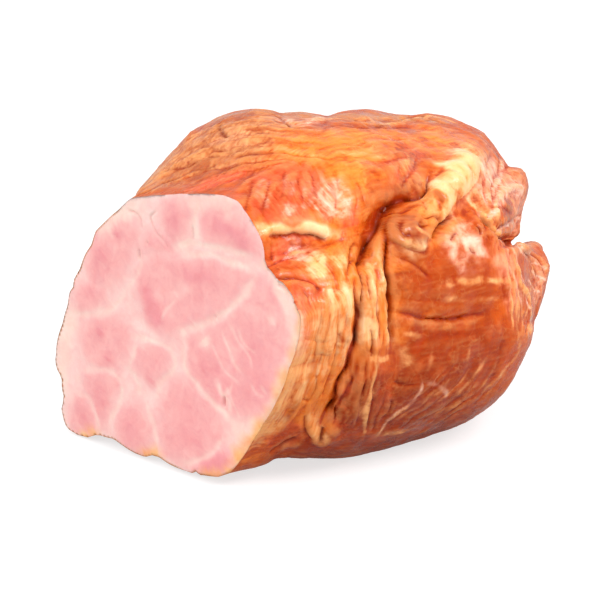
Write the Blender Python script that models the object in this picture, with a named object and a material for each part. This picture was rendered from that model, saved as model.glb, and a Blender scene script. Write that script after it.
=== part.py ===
"""A boneless smoked pork collar with its front end cut off square, lying on its underside.

The body is one loft. Its first section is the outline of the cut, and its other sections are
superellipses whose middle and half sizes change along the length. The far end closes on a
superellipse too. Folds, rolls and knobs are pushed out of the loft, or into it, along its normals.

Sizes are in millimetres and go into the mesh as metres. Along is the distance behind the cut.
A bearing goes round a section from its top towards +X, in degrees.
"""

import bmesh
import bpy
import numpy as np

MM = 0.001

# Overall sizes.
LENGTH = 170.0
CUT_CENTRE = (0.0, 52.0)

# The rim of the cut as (x, z): over the top to the right, down, and back along the underside.
CUT_OUTLINE = (
    (3.0, 101.0), (20.0, 104.0), (30.0, 105.0), (38.0, 101.0), (44.0, 94.0), (48.0, 85.0),
    (60.0, 78.0), (64.0, 68.0), (61.0, 54.0), (50.0, 33.0), (37.0, 17.0), (29.0, 6.0),
    (10.0, 2.0), (-14.0, 1.5), (-33.0, 4.0), (-52.0, 1.0), (-60.0, 6.0), (-60.0, 15.0),
    (-63.0, 24.0), (-61.0, 38.0), (-52.0, 58.0), (-38.0, 81.0), (-29.0, 90.0), (-20.0, 95.0),
)

# Sections: along, middle x, middle z, half width, half height.
SECTIONS = (
    (0.0, 7.0, 61.0, 67.0, 61.0),
    (30.0, 7.0, 61.0, 67.5, 61.0),
    (65.0, 3.0, 57.0, 73.0, 64.0),
    (100.0, 4.0, 54.5, 72.0, 60.5),
    (135.0, -2.0, 55.0, 62.5, 60.0),
    (170.0, -4.0, 56.0, 60.0, 60.0),
)
SECTION_POWER = 2.2

# The cut's outline gives way to the sections here, and more slowly above the heel at its corner.
CUT_BLEND_MIDDLE = 22.0
CUT_BLEND_SPAN = 7.0
HEEL_BEARING = 238.0
HEEL_WIDTH = 48.0
HEEL_MIDDLE = 42.0
HEEL_SPAN = 13.0

# The rounded far end takes this share of the length.
END_SHARE = 0.60
END_POWER = 3.3
END_RADIUS = 62.0

# The underside flattens where the meat lies.
UNDERSIDE_SOFTNESS = 3.0

# Folds grow from nothing over this distance behind the cut.
RIM_FADE = 9.0

# Knobs and hollows: along, bearing, height, spread along, spread around.
KNOBS = (
    (142.0, 52.0, 3.0, 13.0, 9.0),
    (148.0, 74.0, -13.0, 20.0, 8.0),
    (148.0, 88.0, 6.0, 14.0, 11.0),
    (48.0, 61.0, 3.0, 7.0, 6.0),
    (50.0, -14.0, 1.2, 16.0, 22.0),
    (104.0, -8.0, 1.5, 14.0, 24.0),
    (64.0, 104.0, 2.5, 24.0, 16.0),
    (150.0, -60.0, 4.0, 16.0, 20.0),
    (156.0, 150.0, 3.0, 14.0, 18.0),
    (70.0, -88.0, 3.0, 22.0, 18.0),
)

# Valleys, pressed in: depth, width, and the (along, bearing) points they pass through.
VALLEYS = (
    (8.0, 5.5, ((76.0, 49.0), (64.0, 52.5), (54.0, 53.5), (45.0, 55.0), (37.0, 58.0),
                (32.0, 61.5), (29.0, 66.0))),
    (4.0, 4.5, ((31.0, 62.0), (34.0, 67.0), (34.5, 75.0), (34.5, 85.0), (35.0, 98.0))),
    (3.0, 4.0, ((23.0, 70.0), (22.5, 84.0), (22.0, 96.0), (21.0, 106.0), (21.0, 121.0))),
    (3.5, 4.0, ((4.0, 48.0), (9.0, 50.0), (15.0, 52.0), (22.0, 56.0))),
    (3.0, 4.5, ((38.0, 84.0), (47.0, 87.0), (60.0, 89.0), (72.0, 89.0), (88.0, 88.0))),
    (3.5, 5.0, ((104.0, 51.0), (88.0, 55.5), (76.0, 59.0), (68.0, 62.0), (58.0, 67.0))),
    (3.5, 8.0, ((30.0, -58.0), (62.0, -64.0), (100.0, -66.0), (140.0, -78.0))),
    (3.0, 8.0, ((66.0, -24.0), (100.0, -30.0), (132.0, -28.0), (152.0, -16.0))),
    (3.0, 8.0, ((40.0, -112.0), (80.0, -108.0), (120.0, -112.0), (148.0, -122.0))),
    (3.0, 7.0, ((96.0, 142.0), (122.0, 138.0), (144.0, 132.0), (160.0, 120.0))),
)

# Rolls, standing out: height, width and points, as above.
ROLLS = (
    (5.0, 8.0, ((128.0, 36.0), (98.0, 45.0), (80.0, 51.0), (66.0, 56.0), (54.0, 61.0))),
    (2.0, 4.5, ((2.0, 41.0), (9.0, 45.5), (17.0, 48.5), (24.0, 51.0))),
    (2.5, 5.0, ((28.0, 74.0), (28.0, 86.0), (28.0, 98.0), (27.0, 112.0), (30.0, 128.0))),
)

# Mesh: rings along the body and points round each ring, closer together on the folded side.
RINGS = 60
RING_EXTRA = 0.6
RING_EXTRA_MIDDLE = 42.0
RING_EXTRA_SPREAD = 32.0
POINTS_ROUND = 80
DENSE_BEARING = 82.0
DENSE_PULL = 0.42
PROFILE_STEPS = 4001
PATH_STEPS = 12


def through(stations, values, positions):
    """A smooth curve through the values at the stations, read at the positions."""
    stations = np.asarray(stations, float)
    values = np.asarray(values, float)
    slopes = np.gradient(values, stations)
    positions = np.clip(positions, stations[0], stations[-1])
    span = np.clip(np.searchsorted(stations, positions, side="right") - 1, 0, len(stations) - 2)
    width = stations[span + 1] - stations[span]
    t = (positions - stations[span]) / width
    return (
        (2 * t**3 - 3 * t**2 + 1) * values[span]
        + (t**3 - 2 * t**2 + t) * width * slopes[span]
        + (3 * t**2 - 2 * t**3) * values[span + 1]
        + (t**3 - t**2) * width * slopes[span + 1]
    )


def cut_radius(bearings):
    """The rim's distance from the cut's centre, as a closed curve through CUT_OUTLINE."""
    offsets = np.asarray(CUT_OUTLINE) - CUT_CENTRE
    places = np.arctan2(offsets[:, 0], offsets[:, 1]) % (2 * np.pi)
    radii = np.hypot(offsets[:, 0], offsets[:, 1])
    places = np.concatenate([places - 2 * np.pi, places, places + 2 * np.pi])
    return through(places, np.tile(radii, 3), bearings % (2 * np.pi))


def heel_share(bearings):
    """1 at the heel's bearing, falling to 0 away from it."""
    away = (np.degrees(bearings) - HEEL_BEARING + 180.0) % 360.0 - 180.0
    return np.exp(-((away / HEEL_WIDTH) ** 2))


def fading(along, middle, span):
    """1 at the cut, falling to 0 behind it."""
    return (1 + np.exp(-middle / span)) / (1 + np.exp((along - middle) / span))


def end_closing(along):
    """How much of a section is left at this distance, from 1 down to 0 at the far end."""
    into_end = np.clip((along / LENGTH - (1 - END_SHARE)) / END_SHARE, 0, 1)
    return np.clip(1 - into_end**END_POWER, 0, 1) ** (1 / END_POWER)


def loft(along, bearings):
    """Points of the plain body, one row for each section."""
    stations = np.asarray(SECTIONS)
    middle_x, middle_z, half_width, half_height = (
        through(stations[:, 0], stations[:, column], along) for column in (1, 2, 3, 4)
    )
    sine, cosine = np.sin(bearings), np.cos(bearings)
    across = np.abs(sine)[None] / half_width[:, None]
    upright = np.abs(cosine)[None] / half_height[:, None]
    body = (across**SECTION_POWER + upright**SECTION_POWER) ** (-1 / SECTION_POWER)
    heel = heel_share(bearings)[None]
    middle = CUT_BLEND_MIDDLE + HEEL_MIDDLE * heel
    span = CUT_BLEND_SPAN + HEEL_SPAN * heel
    rim_part = fading(along[:, None], middle, span)
    radius = cut_radius(bearings)[None] * rim_part + body * (1 - rim_part)
    radius = radius * end_closing(along)[:, None]
    centre_part = fading(along, CUT_BLEND_MIDDLE, CUT_BLEND_SPAN)
    centre_x = CUT_CENTRE[0] * centre_part + middle_x * (1 - centre_part)
    centre_z = CUT_CENTRE[1] * centre_part + middle_z * (1 - centre_part)
    points = np.empty(radius.shape + (3,))
    points[..., 0] = centre_x[:, None] + radius * sine
    points[..., 1] = along[:, None]
    points[..., 2] = centre_z[:, None] + radius * cosine
    return points


def ring_places(count):
    """Distances of the rings, evenly spaced over the side and the end but closer at the folds."""
    share = np.linspace(0, 1, PROFILE_STEPS)
    along = LENGTH * (1 - (1 - share) ** 4)
    side = END_RADIUS * end_closing(along)
    step = np.hypot(np.diff(along), np.diff(side))
    folds = np.exp(-(((along[1:] - RING_EXTRA_MIDDLE) / RING_EXTRA_SPREAD) ** 2))
    travelled = np.concatenate([[0], np.cumsum(step * (1 + RING_EXTRA * folds))])
    return np.interp(np.linspace(0, travelled[-1], count), travelled, along)


def round_bearings(count):
    """Bearings once round, in radians, closest together at DENSE_BEARING."""
    even = np.linspace(0, 2 * np.pi, count, endpoint=False)
    return even - DENSE_PULL * np.sin(even - np.radians(DENSE_BEARING))


def outward(points):
    """Unit normals of the loft, facing out."""
    around = np.roll(points, -1, axis=1) - np.roll(points, 1, axis=1)
    normal = np.cross(around, np.gradient(points, axis=0))
    normal[-1] = (0, 1, 0)
    return normal / (np.linalg.norm(normal, axis=-1, keepdims=True) + 1e-12)


def on_body(pairs):
    """Points on the plain body at pairs of (along, bearing in degrees)."""
    places = [loft(np.array([along]), np.radians([bearing]))[0, 0] for along, bearing in pairs]
    return np.array(places)


def fine_path(pairs):
    """A smooth path over the body through pairs of (along, bearing), as points close together."""
    pairs = np.asarray(pairs, float)
    knots = np.arange(len(pairs))
    steps = np.linspace(0, len(pairs) - 1, (len(pairs) - 1) * PATH_STEPS + 1)
    return on_body(np.stack([through(knots, pairs[:, side], steps) for side in (0, 1)], axis=1))


def nearness(points, path, width):
    """1 on the path, falling to 0 with distance and towards the path's two ends."""
    gaps = np.linalg.norm(points[..., None, :] - path, axis=-1)
    share = gaps.argmin(axis=-1) / (len(path) - 1)
    taper = np.sin(np.pi * (share * 0.9 + 0.05)) ** 0.6
    return np.exp(-((gaps.min(axis=-1) / width) ** 2)) * taper


def relief(points):
    """How far each point is pushed along its normal by knobs, valleys and rolls."""
    push = np.zeros(points.shape[:2])
    for along, bearing, height, spread_along, spread_round in KNOBS:
        offset = points - on_body([(along, bearing)])[0]
        lengthways = offset[..., 1] / spread_along
        sideways = np.hypot(offset[..., 0], offset[..., 2]) / spread_round
        push += height * np.exp(-(lengthways**2) - sideways**2)
    for depth, width, pairs in VALLEYS:
        push -= depth * nearness(points, fine_path(pairs), width)
    for height, width, pairs in ROLLS:
        push += height * nearness(points, fine_path(pairs), width)
    fade = np.clip(points[..., 1] / RIM_FADE, 0, 1)
    return push * fade**2 * (3 - 2 * fade)


def lie_flat(points):
    """Flattens the underside on z = 0, with a soft turn into the sides."""
    height = points[..., 2]
    turn = (height + UNDERSIDE_SOFTNESS) ** 2 / (4 * UNDERSIDE_SOFTNESS)
    soft = np.where(height < UNDERSIDE_SOFTNESS, turn, height)
    points[..., 2] = np.where(height <= -UNDERSIDE_SOFTNESS, 0.0, soft)
    return points


def meat_material():
    """Brown smoked surface, moist and a little glossy."""
    material = bpy.data.materials.new("smoked_pork")
    material.use_nodes = True
    shader = material.node_tree.nodes["Principled BSDF"]
    shader.inputs["Base Color"].default_value = (0.45, 0.14, 0.04, 1.0)
    shader.inputs["Roughness"].default_value = 0.45
    shader.inputs["Metallic"].default_value = 0.0
    return material


def body_mesh(points):
    """Skins the rings, closes the far end on one point and the cut with one flat face."""
    shape = bmesh.new()
    rings = [[shape.verts.new(point) for point in ring] for ring in points[:-1]]
    pole = shape.verts.new(points[-1].mean(axis=0))
    for near, far in zip(rings, rings[1:]):
        for index in range(POINTS_ROUND):
            after = (index + 1) % POINTS_ROUND
            shape.faces.new((near[index], near[after], far[after], far[index]))
    for index in range(POINTS_ROUND):
        shape.faces.new((rings[-1][index], rings[-1][(index + 1) % POINTS_ROUND], pole))
    shape.faces.new(rings[0])
    bmesh.ops.recalc_face_normals(shape, faces=shape.faces)
    bmesh.ops.triangulate(shape, faces=shape.faces)
    mesh = bpy.data.meshes.new("pork_collar")
    shape.to_mesh(mesh)
    shape.free()
    return mesh


def build():
    for old in list(bpy.data.objects):
        bpy.data.objects.remove(old, do_unlink=True)

    points = loft(ring_places(RINGS), round_bearings(POINTS_ROUND))
    points = lie_flat(points + outward(points) * relief(points)[..., None])
    points[0, :, 1] = 0.0

    # The frame's origin is under the middle of the box that holds the body.
    low = points.reshape(-1, 3).min(axis=0)
    high = points.reshape(-1, 3).max(axis=0)
    points -= ((low[0] + high[0]) / 2, (low[1] + high[1]) / 2, 0.0)

    mesh = body_mesh(points * MM)
    mesh.materials.append(meat_material())
    mesh.shade_smooth()
    mesh.set_sharp_from_angle(angle=np.radians(50))
    collection = bpy.data.collections.new("smoked_pork_collar")
    bpy.context.scene.collection.children.link(collection)
    collection.objects.link(bpy.data.objects.new("pork_collar", mesh))


build()
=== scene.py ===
# %% [markdown]
# # A smoked pork collar, cut across
# A pork collar is the muscle bundle behind the head. Netted, cured and smoked, it shrinks into one knobbly
# block: a brown, folded outside with golden fat, and a pale pink face where it was cut.
# The CAD solid already has its true size and its main folds. This script lays a finer skin over that solid,
# adds the creases, fat and sinew that give it life, and colours them.

import bpy
import numpy as np
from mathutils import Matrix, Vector
from mathutils.bvhtree import BVHTree
from mathutils.geometry import delaunay_2d_cdt


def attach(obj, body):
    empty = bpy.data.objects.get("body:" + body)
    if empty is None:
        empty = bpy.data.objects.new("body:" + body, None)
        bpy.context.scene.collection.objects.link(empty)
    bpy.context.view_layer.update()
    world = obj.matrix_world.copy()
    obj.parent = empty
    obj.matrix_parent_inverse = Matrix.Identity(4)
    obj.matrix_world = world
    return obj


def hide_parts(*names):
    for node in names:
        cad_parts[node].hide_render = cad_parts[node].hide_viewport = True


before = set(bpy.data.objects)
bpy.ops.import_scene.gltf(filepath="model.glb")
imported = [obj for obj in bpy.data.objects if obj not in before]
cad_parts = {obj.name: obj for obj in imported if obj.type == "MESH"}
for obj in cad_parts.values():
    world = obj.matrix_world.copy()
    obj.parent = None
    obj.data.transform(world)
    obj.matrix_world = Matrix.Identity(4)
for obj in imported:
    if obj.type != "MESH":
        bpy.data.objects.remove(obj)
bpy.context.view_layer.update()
MM = 0.001
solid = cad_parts["pork_collar"]
solid_tree = BVHTree.FromObject(solid, bpy.context.evaluated_depsgraph_get())

# %% [markdown]
# ## Camera
# The camera looks at the cut from its left-hand side and a little from above, with a long lens, so that the
# piece hardly tapers. It comes first because the folds below are placed by pixels of its 600 x 600 frame.
# A pixel is turned into a line of sight, and the point where that line meets the solid is where a fold runs.

# %% Camera
FRAME_PIXELS = 600
MM_PER_PIXEL = 0.38
SENSOR_MM = 36.0
AZIMUTH, ELEVATION = np.radians(44.0), np.radians(16.0)
CAMERA_DISTANCE = 810.0
AIM = np.array((-17.63, -5.0, 43.7))

toward_camera = np.array((
    np.sin(AZIMUTH) * np.cos(ELEVATION), -np.cos(AZIMUTH) * np.cos(ELEVATION), np.sin(ELEVATION),
))
frame_right = np.array((np.cos(AZIMUTH), np.sin(AZIMUTH), 0.0))
frame_up = np.cross(toward_camera, frame_right)
eye = AIM + toward_camera * CAMERA_DISTANCE

camera_data = bpy.data.cameras.new("camera")
camera_data.sensor_width = SENSOR_MM
camera_data.lens = SENSOR_MM * CAMERA_DISTANCE / (FRAME_PIXELS * MM_PER_PIXEL)
camera = bpy.data.objects.new("camera", camera_data)
camera.location = eye * MM
camera.rotation_euler = Vector(toward_camera).to_track_quat("Z", "Y").to_euler()
bpy.context.scene.collection.objects.link(camera)
bpy.context.scene.camera = camera
print("lens in mm:", round(camera_data.lens, 1))

# %% Lines of sight
body_tree = solid_tree


def on_body(pixel):
    """Where the line of sight through a pixel meets the body, or passes nearest to it, in mm."""
    across = (pixel[0] - FRAME_PIXELS / 2) * MM_PER_PIXEL
    upward = (FRAME_PIXELS / 2 - pixel[1]) * MM_PER_PIXEL
    sight = Vector(AIM + frame_right * across + frame_up * upward - eye).normalized()
    hit = body_tree.ray_cast(Vector(eye * MM), sight)[0]
    if hit is None:
        hit = body_tree.find_nearest(Vector(eye * MM) + sight * CAMERA_DISTANCE * MM)[0]
    return np.array(hit) / MM


def pixels_of(points):
    """Where the camera sees points, in pixels, and how many pixels a millimetre takes there."""
    offset = points - AIM
    scale = CAMERA_DISTANCE / (CAMERA_DISTANCE - offset @ toward_camera) / MM_PER_PIXEL
    across, upward = offset @ frame_right * scale, offset @ frame_up * scale
    return np.stack([FRAME_PIXELS / 2 + across, FRAME_PIXELS / 2 - upward], axis=-1), scale


print("middle of the frame meets the body at", on_body((FRAME_PIXELS / 2, FRAME_PIXELS / 2)).round(1))

# %% [markdown]
# ## The skin's grid
# The skin is a fine grid wrapped round the solid. Lines are shot outwards from an axis inside the meat:
# straight out along the side, then fanning over the rounded far end. Where they leave the solid is where the
# grid's points go. A light smoothing takes the solid's facets away. The lines are closest together on the
# folded side.

# %% Grid of the skin
CUT_Y = -85.0
AXIS_HEIGHT = 54.0
AXIS_START, AXIS_LENGTH = 0.02, 110.0
END_ARC = 72.0
SIDE_RINGS = 190
END_RINGS = 98
ROUND = 340
DENSE_BEARING = np.radians(80.0)
DENSE_PULL = 0.45
SOFTEN_CELLS = 3
SOFTEN_FALL = 1.3


def axis_line(along, bearing):
    """Start and direction of the line that leaves the axis at this distance behind the cut."""
    turn = np.clip((along - AXIS_LENGTH) / END_ARC, 0, 1) * np.pi / 2
    start = np.array((0.0, CUT_Y + min(max(along, AXIS_START), AXIS_LENGTH), AXIS_HEIGHT))
    return start, np.array((np.cos(turn) * np.sin(bearing), np.sin(turn), np.cos(turn) * np.cos(bearing)))


def from_axis(along, bearing):
    """The point of the body at a distance behind the cut and a bearing in radians, 0 up and towards +X."""
    start, direction = axis_line(along, bearing)
    distance = body_tree.ray_cast(Vector(start * MM), Vector(direction))[3]
    return start + direction * distance / MM


def soften(grid, cells):
    """Smooths a grid of vectors by a few cells, wrapping round the body but not along it."""
    weights = np.exp(-0.5 * (np.arange(-2 * cells, 2 * cells + 1) / cells * SOFTEN_FALL) ** 2)
    weights /= weights.sum()
    wrapped = sum(w * np.roll(grid, k - 2 * cells, axis=1) for k, w in enumerate(weights))
    padded = np.pad(wrapped, ((2 * cells, 2 * cells), (0, 0), (0, 0)), mode="reflect", reflect_type="odd")
    return sum(w * padded[k : k + len(grid)] for k, w in enumerate(weights))


stations = np.concatenate([
    np.linspace(0, AXIS_LENGTH, SIDE_RINGS, endpoint=False),
    np.linspace(AXIS_LENGTH, AXIS_LENGTH + END_ARC, END_RINGS),
])
even = np.linspace(0, 2 * np.pi, ROUND, endpoint=False)
bearings = even - DENSE_PULL * np.sin(even - DENSE_BEARING)
grid = np.array([[from_axis(along, bearing) for bearing in bearings] for along in stations])
grid = soften(grid, SOFTEN_CELLS)
grid[0, :, 1] = CUT_Y
grid[-1] = grid[-1].mean(axis=0)
print("grid:", grid.shape[0], "rings of", grid.shape[1], "points")

# %% [markdown]
# ## The outline
# The solid's outline is smooth. The real one has shallow dips along the top, two knobs at the far end and a
# notch between them. So the grid is pulled in or out near its outline, as the camera sees it, until it meets
# a line of given pixels. The strokes below then aim at this fitted body.

# %% Fit the grid to the outline
OUTLINE = (
    (127, 200), (136, 189.5), (147, 177), (160, 164), (177, 146), (191, 132), (209.5, 122), (220, 116),
    (235, 111.5), (255.5, 108), (270, 110), (281, 113), (300, 111.5), (313, 113.5), (326, 116),
    (337, 112.6), (352, 110), (367, 109), (383, 111), (398, 114), (412, 115.5), (427, 113), (441, 114.5),
    (452, 117), (463, 122), (475, 128), (484, 133), (490, 139.5), (495, 146), (500, 154), (505, 160),
    (508.5, 166.5), (514, 167), (521, 168.5), (525.5, 173), (528, 180), (529, 187), (527.5, 195),
    (524.5, 205), (522, 213), (520, 222), (518.5, 232), (516, 238), (513.5, 242), (518, 244), (524, 243.5),
    (530, 242.8), (535, 242.2), (540, 244), (543, 249), (547, 257), (550, 265), (550, 271), (547.5, 281),
    (545.5, 290), (542, 302), (538, 313), (534.5, 321), (533.5, 333), (531, 343), (527, 352), (522, 363),
    (514, 380), (505, 393), (490, 407), (473, 419), (454, 427.5), (433, 434), (412, 441), (393, 447),
    (372, 452), (357, 456), (343, 458), (326, 458.5), (309, 458), (288, 458), (266, 458.5),
)
OUTLINE_CENTRE = np.array((310.0, 300.0))
OUTLINE_SECTORS = 720
FIT_FROM = 0.8
FIT_FADE = np.radians(4.0)
FIT_CALM = 8.0
FOOT_MOST = 1.2


def eased(share):
    """0 to 1 with a soft start and end."""
    share = np.clip(share, 0, 1)
    return share * share * (3 - 2 * share)


def spokes(pixels):
    """Bearing and reach of pixels from the middle of the outline."""
    spoke = pixels - OUTLINE_CENTRE
    return np.arctan2(spoke[..., 1], spoke[..., 0]), np.linalg.norm(spoke, axis=-1), spoke


def fitted(grid):
    """The grid, pulled in or out near its outline until the outline meets the wanted one."""
    pixels, scale = pixels_of(grid)
    bearing, reach, spoke = spokes(pixels)
    sectors = np.linspace(-np.pi, np.pi, OUTLINE_SECTORS + 1)
    middles = (sectors[1:] + sectors[:-1]) / 2
    present = np.zeros(OUTLINE_SECTORS)
    np.maximum.at(present, np.clip(np.digitize(bearing, sectors) - 1, 0, OUTLINE_SECTORS - 1), reach)
    present = np.interp(bearing, middles, present, period=2 * np.pi)
    wanted_bearing, wanted_reach, _ = spokes(np.array(OUTLINE))
    wanted = np.interp(bearing, wanted_bearing, wanted_reach)
    kept = eased((bearing - wanted_bearing[0]) / FIT_FADE) * eased((wanted_bearing[-1] - bearing) / FIT_FADE)
    share = kept * eased((reach / present - FIT_FROM) / (1 - FIT_FROM))
    share = share * eased((grid[..., 1] - CUT_Y) / FIT_CALM)
    pull = spoke * ((wanted / present - 1) * share / scale)[..., None]
    pulled = grid + pull[..., :1] * frame_right - pull[..., 1:] * frame_up
    return pulled + np.clip(-pulled[..., 2:], 0, FOOT_MOST) / toward_camera[2] * toward_camera


def ring_faces(rings, count):
    """Quads between rings of count points each."""
    near = np.arange((rings - 1) * count).reshape(rings - 1, count)
    after = np.roll(near, -1, axis=1)
    return np.stack([near, after, after + count, near + count], axis=-1).reshape(-1, 4).tolist()


grid = fitted(grid)
print("outline of", len(OUTLINE), "places")

# %% Fit the rim of the cut
RIM_OUTLINE = (
    (131, 198), (118, 210), (107, 220), (96, 231), (91, 244), (85, 255), (80, 269), (73, 282), (70, 290),
    (67.5, 306), (63, 323), (58, 337), (56, 350), (55, 361), (57.5, 370), (62, 377), (61.5, 385),
    (63.5, 396), (61, 407), (62, 418), (67, 428.5), (77, 435.5), (90, 438), (97.5, 434), (113, 439),
    (123, 446), (134, 453), (145, 457), (152, 455), (158.5, 457), (169, 464), (185.5, 471), (202, 475),
    (218, 477), (230, 473), (240, 461), (252, 442), (263, 424), (277, 400), (289, 368), (298, 342),
    (301, 318), (291, 293), (279, 280), (267, 267), (264.5, 259), (264, 250), (262, 241.5), (256.5, 230.5),
    (245.5, 211.5), (237.5, 201), (224, 195.5), (191, 194), (164, 195), (145, 196.5),
)
RIM_CENTRE = np.array((180.0, 340.0))
RIM_REACH = 60.0


def rim_shift(rim):
    """Moves in the plane of the cut that bring its rim to the wanted line."""
    pixels, scale = pixels_of(rim)
    spoke = pixels - RIM_CENTRE
    turn = np.arctan2(spoke[:, 0], spoke[:, 1])
    wanted = np.array(RIM_OUTLINE) - RIM_CENTRE
    wanted_turn = np.arctan2(wanted[:, 0], wanted[:, 1])
    wanted_reach = np.linalg.norm(wanted, axis=1)
    ratio = np.interp(turn, wanted_turn, wanted_reach, period=2 * np.pi) / np.linalg.norm(spoke, axis=1)
    pull = spoke * ((ratio - 1) / scale)[:, None]
    across = pull[:, 0] / frame_right[0]
    upward = (-pull[:, 1] - across * frame_up[0]) / frame_up[2]
    return np.stack([across, np.zeros(len(rim)), upward], axis=1)


rim_fade = eased(1 - (grid[..., 1] - CUT_Y) / RIM_REACH)
grid = grid + rim_shift(grid[0]) * rim_fade[..., None]
body_points = (grid.reshape(-1, 3) * MM).tolist()
cut_ring = list(range(ROUND))
body_tree = BVHTree.FromPolygons(body_points, ring_faces(len(stations), ROUND) + [cut_ring])
print("rim of", len(RIM_OUTLINE), "places")


def outward(grid):
    """Unit normals of the grid, facing out of the meat."""
    around = np.roll(grid, -1, axis=1) - np.roll(grid, 1, axis=1)
    normal = np.cross(around, np.gradient(grid, axis=0))
    normal[-1] = normal[-1] * 0 + (0, 1, 0)
    return normal / (np.linalg.norm(normal, axis=-1, keepdims=True) + 1e-9)


# %% [markdown]
# ## Strokes
# Everything on this meat runs in strokes: creases, rolls of fat, streaks of colour. So one small class keeps
# the points of a surface and lets strokes act on them. A stroke is a smooth path on the body with a width.
# It can press a crease, raise a ridge or paint a mask. Masks are numbers from 0 to 1 at each point, saved on
# the mesh for the material to read. Every path wanders a little, because nothing on meat runs smoothly.

# %% Paths on the body
def smooth_line(points, per_span=6):
    """A smooth curve through the points (Catmull-Rom)."""
    points = np.asarray(points, float)
    first, last = 2 * points[0] - points[1], 2 * points[-1] - points[-2]
    padded = np.concatenate([[first], points, [last]])
    a, b, c, d = (padded[k : len(padded) - 3 + k, None] for k in range(4))
    t = np.linspace(0, 1, per_span, endpoint=False)[None, :, None]
    curve = b + 0.5 * t * (c - a + t * (2 * a - 5 * b + 4 * c - d + t * (3 * (b - c) + d - a)))
    return np.concatenate([curve.reshape(-1, points.shape[1]), points[-1:]])


JITTER_PIXELS = 0.6
JITTER_WAVES = (70.0, 31.0)
chance = np.random.default_rng(5)


def jitter(line, amount, waves):
    """A line with a small random wander."""
    reach = np.concatenate([[0], np.cumsum(np.linalg.norm(np.diff(line, axis=0), axis=1))])
    shift = np.zeros_like(line)
    for wave in waves:
        turns = reach[:, None] / wave * 2 * np.pi + chance.uniform(0, 2 * np.pi, line.shape[1])
        shift += amount * np.sin(turns)
    return line + shift


def seen(*pixels, per_span=6):
    """A path on the body through pixels of the camera's frame."""
    line = jitter(smooth_line(pixels, per_span), JITTER_PIXELS, JITTER_WAVES)
    return np.array([on_body(pixel) for pixel in line])


def onto_body(places):
    """The points of the body that lie nearest to places."""
    return np.array([np.array(body_tree.find_nearest(Vector(place * MM))[0]) / MM for place in places])


def behind(pixel, depths):
    """A path that leaves an edge pixel and goes on round the body, away from the camera."""
    edge = on_body(pixel)
    return onto_body([edge - toward_camera * depth for depth in depths])


def girth(*places, per_span=6):
    """A path on the body through pairs of distance behind the cut in mm and bearing in degrees."""
    line = smooth_line(places, per_span)
    return np.array([from_axis(along, np.radians(bearing)) for along, bearing in line])


print("paths wander by", JITTER_PIXELS, "pixels")

# %% A surface that takes strokes
UNEVEN, UNEVEN_WAVES = 0.14, (31.0, 17.0, 8.0)
CREASE_REACH, CREASE_FALL = 2.4, 1.9
LIP_PLACE, LIP_WIDTH = 1.25, 0.5
PAINT_REACH = 1.7
FILL_REACH = 60.0


def unevenness(path, share):
    """A factor around 1 that changes along a path."""
    length = np.linalg.norm(np.diff(path, axis=0), axis=1).sum()
    waves = [np.sin((share * length / wave + chance.random()) * 2 * np.pi) for wave in UNEVEN_WAVES]
    return 1 + UNEVEN * sum(waves)


def tapered(share, least, run):
    """1 along a path, easing down to the least at its two ends."""
    return least + (1 - least) * eased(np.minimum(share, 1 - share) / run)


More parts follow.
